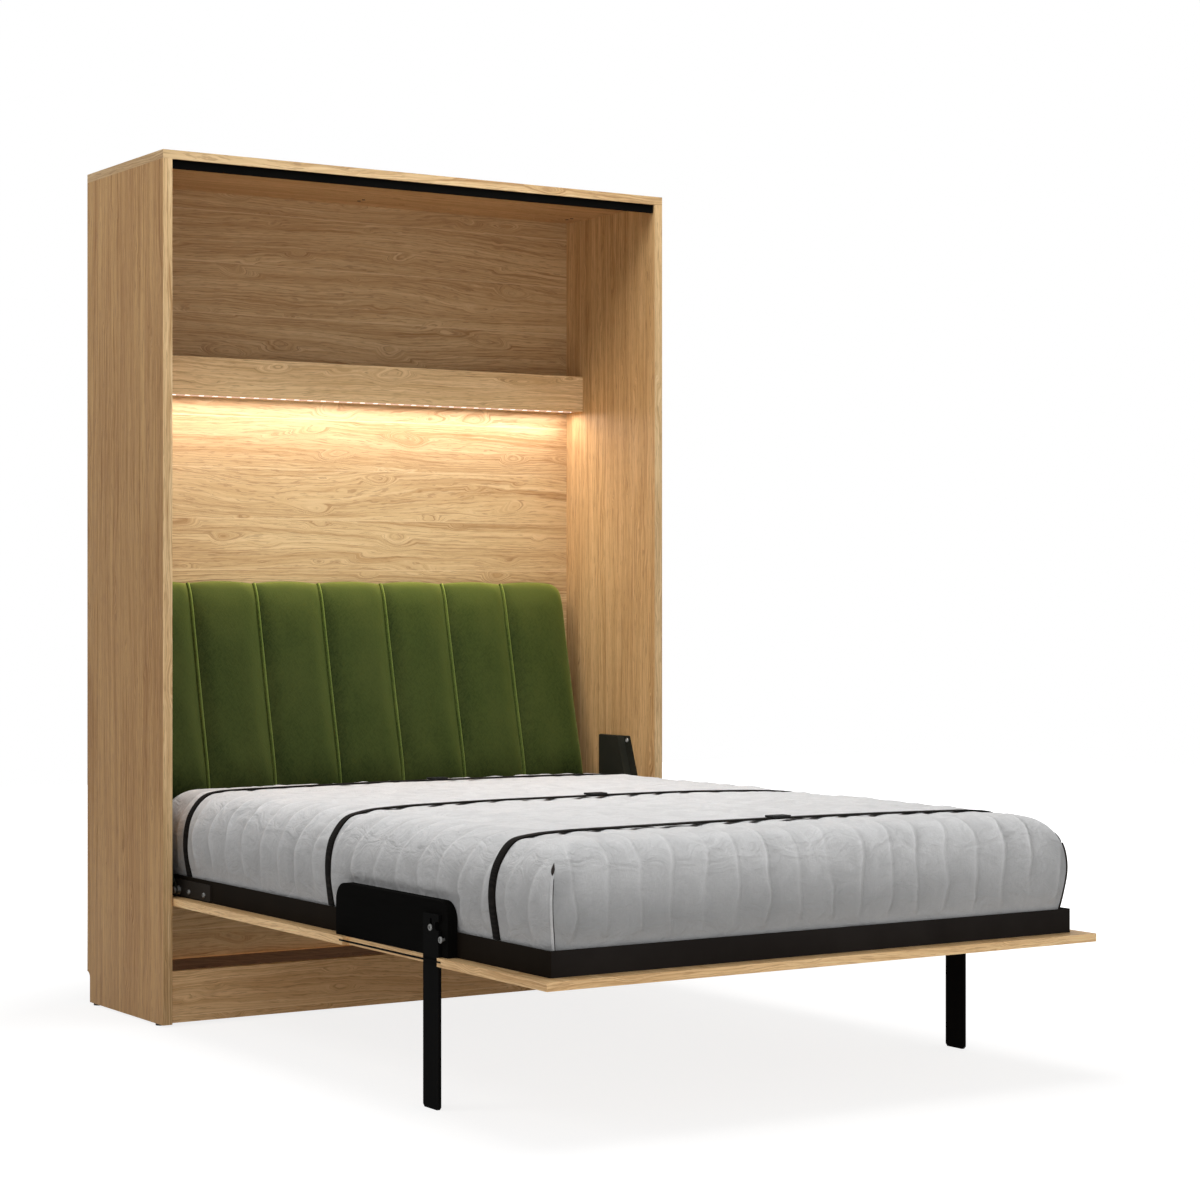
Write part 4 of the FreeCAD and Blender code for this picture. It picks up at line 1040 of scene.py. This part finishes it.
def cushion_grid():
    """The cushion's front as a grid, and how firmly its seams and rims hold each point."""
    steps = [0, 0.018, 0.045, 0.085, 0.14, 0.21, 0.33, 0.5, 0.67, 0.79, 0.86, 0.915, 0.955, 0.982]
    columns = [k + share for k in range(channel_count) for share in steps] + [channel_count]
    rises = [0, 0.006, 0.016, 0.03, 0.05, 0.08, 0.12]
    rises += list(np.linspace(0.16, 0.87, 25))
    rises += [0.892, 0.912, 0.93, 0.946, 0.960, 0.972, 0.982, 0.990, 0.996, 1.0]
    mesh = bmesh.new()
    bmesh.ops.create_grid(mesh, x_segments=len(columns) - 1, y_segments=len(rises) - 1, size=1)
    mesh.verts.ensure_lookup_table()
    widened_from = 0.60
    end_round, top_round, foot_round = 0.020, 0.070, 0.090
    held = {}
    for vert in mesh.verts:
        i = step_of(vert.co.x, len(columns) - 1)
        j = step_of(vert.co.y, len(rises) - 1)
        x = -board_half + columns[i] * channel
        past = (abs(x) - widened_from) / (board_half - widened_from)
        if past > 0:
            x = math.copysign(widened_from + past * (end_half - widened_from), x)
        top = float(scallop_top(np.float64(x)))
        climb = cushion_foot + rises[j] * (top - cushion_foot)
        share = columns[i] % 1.0
        aside = abs(2 * share - 1)
        bend = 0.15 * aside ** 3 + 0.85 * (1 - float(rolled(np.float64(1 - aside), 0.29)))
        inner = channel * 0.5 < abs(abs(x) - board_half) or abs(x) < board_half - channel * 0.5
        full = crown_out - 0.003 - (crown_out - seam_out) * (bend if inner else 0.0)
        ends = rolled(end_half - abs(x), end_round)
        over = rolled(top - climb, top_round) * rolled(climb - cushion_foot, foot_round)
        out = rim_out + (full - rim_out) * float(ends * over)
        vert.co = slope_foot + Vector((x, 0, 0)) + up_slope * climb + off_slope * out
        seam = abs(columns[i] - round(columns[i])) < 1e-6
        held[vert.index] = 1.0 if seam or j in (0, len(rises) - 1) else 0.0
    return mesh, held


def headboard_cushion(material):
    """Seven stuffed channels with the cloth drawn in at the seams."""
    mesh, held = cushion_grid()
    rim = [edge for edge in mesh.edges if edge.is_boundary]
    bmesh.ops.contextual_create(mesh, geom=rim)
    bmesh.ops.recalc_face_normals(mesh, faces=mesh.faces[:])
    piece = keep("headboard_cover", mesh, material, "cabinet", "green_velvet",
                 ("headboard_cushion",))
    pins = np.array([held.get(k, 1.0) for k in range(len(piece.data.vertices))])
    inflate(piece, pins, pressure=3.0, cap=0.0045)
    refill_back(piece, False)
    divide(piece, 1)
    refill_back(piece, True)
    points = points_of(piece.data)
    normals = points_of(piece.data, "normal")
    wave = ripple(points, (0.05, 0.05, 0.11), 2.2) * 0.0011
    drag = ripple(points, (0.02, 0.02, 0.05), 6.1) * 0.0005
    share = ((points[:, 0] + board_half) / channel) % 1.0
    aside = np.minimum(share, 1 - share)
    near_seam = bell(aside - 0.14, 0.07)
    front = smooth_step(-normals[:, 1], 0.2, 0.6)
    calm = smooth_step(aside, 0.015, 0.10)
    points = points + normals * ((wave * calm + drag * near_seam) * front)[:, None]
    set_points(piece.data, points)
    return piece


def refill_back(piece, closed):
    """Takes the cushion's flat back off before it is divided, and puts it on again."""
    mesh = bmesh.new()
    mesh.from_mesh(piece.data)
    if closed:
        made = bmesh.ops.contextual_create(mesh, geom=[e for e in mesh.edges if e.is_boundary])
        for face in made["faces"]:
            face.smooth = False
        bmesh.ops.recalc_face_normals(mesh, faces=mesh.faces[:])
    else:
        bmesh.ops.delete(mesh, geom=[face for face in mesh.faces if len(face.verts) > 8],
                         context="FACES_ONLY")
    mesh.to_mesh(piece.data)
    mesh.free()


def headboard_piping(cover, material):
    """A thin welt in each seam, up the cushion and over its top edge."""
    mesh = bmesh.new()
    welt_radius, welt_lift = 0.0044, 0.0030
    climbs = list(np.linspace(0.030, 0.52, 40)) + list(np.linspace(0.53, 0.5975, 16))
    for k in range(1, channel_count):
        foot = slope_foot + Vector((k * channel - board_half + 0.0022, 0, 0))
        hits = [cover.ray_cast(foot + up_slope * climb + off_slope * 0.2, -off_slope)[0]
                for climb in climbs]
        points = relaxed([hit + off_slope * welt_lift for hit in hits if hit], 14)
        normals = [off_slope] * len(points) + [off_slope + up_slope, up_slope, up_slope]
        points += [points[-1] + up_slope * rise - off_slope * back
                   for rise, back in ((-0.0006, 0.004), (-0.0008, 0.010), (-0.0012, 0.018))]
        sweep(mesh, round_outline(welt_radius, 12), stations_on(points, normals))
    keep_swept("headboard_welts", mesh, 60, material, "cabinet", "green_velvet")


# ---------------------------------------------------------------- light

strip_low, strip_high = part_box("light_strip")
strip_middle = (strip_low.y + strip_high.y) / 2
fascia_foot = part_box("shelf_fascia")[0].z


def diffuser_lens(material):
    """A low domed lens under the strip, in the mouth of the channel."""
    half = (strip_high.y - strip_low.y) / 2 - 0.0006
    top = strip_low.z - 0.0004
    depth = top - (fascia_foot - 0.0018)
    arch = [(half * math.cos(angle), -depth * math.sin(angle))
            for angle in np.linspace(0, math.pi, 13)]
    turn = Matrix.Rotation(math.pi / 2, 4, "Y") @ Matrix.Rotation(math.pi / 2, 4, "Z")
    mesh = bmesh.new()
    sweep(mesh, arch, [Matrix.Translation((x, strip_middle, top)) @ turn
                       for x in np.linspace(strip_low.x + 0.002, strip_high.x - 0.002, 9)])
    keep_swept("light_lens", mesh, 40, material, "cabinet", "light_diffuser")


def strip_glow():
    """The light that the strip throws down the back panel."""
    soft_light("strip_glow", (0, strip_middle, fascia_foot - 0.0045), (0, strip_middle, 0),
               (1.38, 0.012), 3.6, (0.93, 0.86, 0.89))


# ---------------------------------------------------------------- screws and bolts

def head_with_socket(mesh, centre, way, radius, height, shank_radius, shank_length):
    """A domed head with a round drive recess and a short shank behind it."""
    profile = [(radius * out, height * rise)
               for out, rise in ((0, 0.45), (0.42, 0.45), (0.50, 0.96), (0.60, 1.0), (0.80, 0.90),
                                 (0.95, 0.62), (1.0, 0.30), (1.0, 0.0))]
    profile += [(shank_radius, 0.0), (shank_radius, -shank_length), (0, -shank_length)]
    turned = bmesh.new()
    verts = [turned.verts.new((distance, 0, rise)) for distance, rise in profile]
    edges = [turned.edges.new(pair) for pair in zip(verts, verts[1:])]
    bmesh.ops.spin(turned, geom=verts + edges, cent=(0, 0, 0), axis=(0, 0, 1),
                   angle=2 * math.pi, steps=20, use_merge=True)
    bmesh.ops.remove_doubles(turned, verts=turned.verts[:], dist=1e-6)
    turn = Vector((0, 0, 1)).rotation_difference(way).to_matrix().to_4x4()
    bmesh.ops.transform(turned, matrix=Matrix.Translation(centre) @ turn, verts=turned.verts[:])
    bmesh.ops.recalc_face_normals(turned, faces=turned.faces[:])
    add_part(mesh, turned)


def islands(name):
    """Boxes of a node's separate solids, from its own mesh."""
    mesh = bmesh.new()
    mesh.from_mesh(nodes[name].data)
    bmesh.ops.remove_doubles(mesh, verts=mesh.verts[:], dist=1e-6)
    left = set(mesh.verts)
    boxes = []
    while left:
        group = [left.pop()]
        for vert in group:
            for edge in vert.link_edges:
                other = edge.other_vert(vert)
                if other in left:
                    left.remove(other)
                    group.append(other)
        places = np.array([vert.co for vert in group])
        boxes.append((Vector(places.min(0)), Vector(places.max(0))))
    mesh.free()
    return boxes


def fasteners(name, piece_name, body, material, inward, head_height, shank_radius):
    """Redraws a node's plain heads; inward is 1 where the heads face the bed's middle."""
    mesh = bmesh.new()
    for low, high in islands(name):
        middle = (low + high) / 2
        way = Vector((math.copysign(inward, -middle.x * inward), 0, 0))
        tip, base = (high.x, low.x) if way.x > 0 else (low.x, high.x)
        centre = Vector((tip - way.x * head_height, middle.y, middle.z))
        head_with_socket(mesh, centre, way, (high.z - low.z) / 2, head_height, shank_radius,
                         abs(centre.x - base))
    crisp(mesh, 35)
    keep(piece_name, mesh, material, body, "bright_steel", (name,))


# ---------------------------------------------------------------- the whole

def dress(material, *names):
    """Puts a finish on CAD nodes."""
    for name in names:
        slots = nodes[name].material_slots
        if not slots:
            nodes[name].data.materials.append(material)
        for holder in slots:
            holder.material = material


def both(name):
    return name + "_left", name + "_right"


place_camera()
light_the_room()
lay_floor()
strip_glow()

steel_bright = brushed("zinc_steel", (0.62, 0.62, 0.61), 0.32)
bolt_steel = brushed("dull_zinc", (0.20, 0.20, 0.195), 0.50)
plastic_black = black_plastic()
knit = mattress_cloth()
elastic = webbing()
olive = velvet(light=0.9)
milky = light_diffuser()

# The oak copies differ in tone partly as boards do and partly by painted light and shade: the right
# side, plinth, fascia and bed panel are painted lighter, the bed panel's edges most, the left outer
# side darker, and the rear rail dark in painted shade with a painted highlight along its top edge.
dress(oak("oak_left_side", "Z", "Y", "X", tone_with_painted_light=(0.93, 0.75, 0.485), figure=1.0, swing=0.35),
      "side_panel_left")
dress(oak("oak_right_side", "Z", "Y", "X", shift=2.0, tone_with_painted_light=(1.14, 1.05, 0.90), figure=0.70,
          swing=0.35), "side_panel_right")
dress(oak("oak_level", "X", "Z", "Y", shift=3.0, tone_with_painted_light=(1.02, 0.965, 0.90)), "back_panel")
dress(oak("oak_rear_rail", "X", "Z", "Y", shift=4.5, tone_with_painted_light=(0.25, 0.165, 0.115),
          edge_tone_with_painted_light=(1.1, 0.75, 0.45)), "rear_bottom_rail")
dress(oak("oak_plinth", "X", "Z", "Y", shift=4.0, tone_with_painted_light=(1.40, 1.34, 1.28)), "plinth")
dress(oak("oak_fascia", "X", "Z", "Y", shift=6.0, tone_with_painted_light=(1.36, 1.35, 1.30), leaf=0.30),
      "shelf_fascia", "shelf_board")
dress(oak("oak_top", "X", "Y", "Z", shift=5.0, tone_with_painted_light=(1.0, 0.84, 0.68),
          edge_tone_with_painted_light=(1.15, 1.15, 1.12)), "top_panel")
dress(oak("oak_bed_panel", "Y", "X", "Z", shift=8.0, tone_with_painted_light=(1.25, 1.2, 1.10),
          edge_tone_with_painted_light=(1.70, 1.66, 1.58)), "bed_panel")
dress(plain_wood(), "slats", *both("headboard_wedge"))
dress(black_board(), "top_stop_strip", "headboard_board", *both("guard_board"))
dress(plastic_black, "floor_glides", "slat_caps", "light_driver", "buckles")
for coat, dark, light, gloss, dressed in (
        ("bracket", (0.0240, 0.0250, 0.0190), (0.0330, 0.0330, 0.0250), 0.12,
         both("lift_bracket")),
        # the foot rail's coat is a lighter copy of the rail coat: painted light on the rail at the
        # foot
        ("foot_rail", (0.0200, 0.0172, 0.0158), (0.0262, 0.0228, 0.0210), 0.02, ("foot_rail",)),
        ("rail", (0.0140, 0.0108, 0.0080), (0.0185, 0.0145, 0.0110), 0.02,
         ("head_rail", "centre_beam", *both("side_rail"), *both("gas_cylinder"))),
        ("arm", (0.0270, 0.0230, 0.0195), (0.0370, 0.0320, 0.0270), 0.06, both("hinge_arm")),
        ("leg", (0.0056, 0.0055, 0.0054), (0.0080, 0.0078, 0.0075), 0.02,
         both("leg") + both("slot_strip"))):
    dress(black_steel(f"black_{coat}_coat", dark, light, gloss), *dressed)
dress(steel_bright, "bracket_screws", "arm_bolts", *both("pivot_pin"), *both("spring_anchor"),
      *both("leg_bolts"))
dress(brushed("dark_cam_metal", (0.10, 0.085, 0.07), 0.5), "cam_caps")
dress(brushed("chromed_rod", (0.80, 0.80, 0.80), 0.12), *both("gas_rod"))
dress(brushed("anodised_alloy", (0.72, 0.72, 0.71), 0.35, (60, 1200, 1200)), "light_channel")
dress(milky, "light_strip")
dress(olive, "headboard_cushion")
dress(knit, "mattress")
dress(elastic, *strap_names)

diffuser_lens(milky)
cover = surface_of(mattress(knit))
corner_seams(cover, mattress_cloth("piping_ticking", ribbed=False), seam_shade_finish())
buckles(straps(cover, elastic), plastic_black)
# The welts use a lighter copy of the velvet: a painted highlight along each welt.
headboard_piping(surface_of(headboard_cushion(olive)), velvet("olive_welt_painted_highlight", 1.9))
fasteners("bracket_screws", "bracket_screw_heads", "cabinet", steel_bright, inward=1,
          head_height=0.0025, shank_radius=0.0020)
fasteners("arm_bolts", "arm_bolt_heads", "bed", bolt_steel, inward=-1, head_height=0.0045,
          shank_radius=0.0040)
for bolts, heads in zip(both("leg_bolts"), both("leg_bolt_heads")):
    fasteners(bolts, heads, "bed", bolt_steel, inward=-1, head_height=0.0035, shank_radius=0.0040)
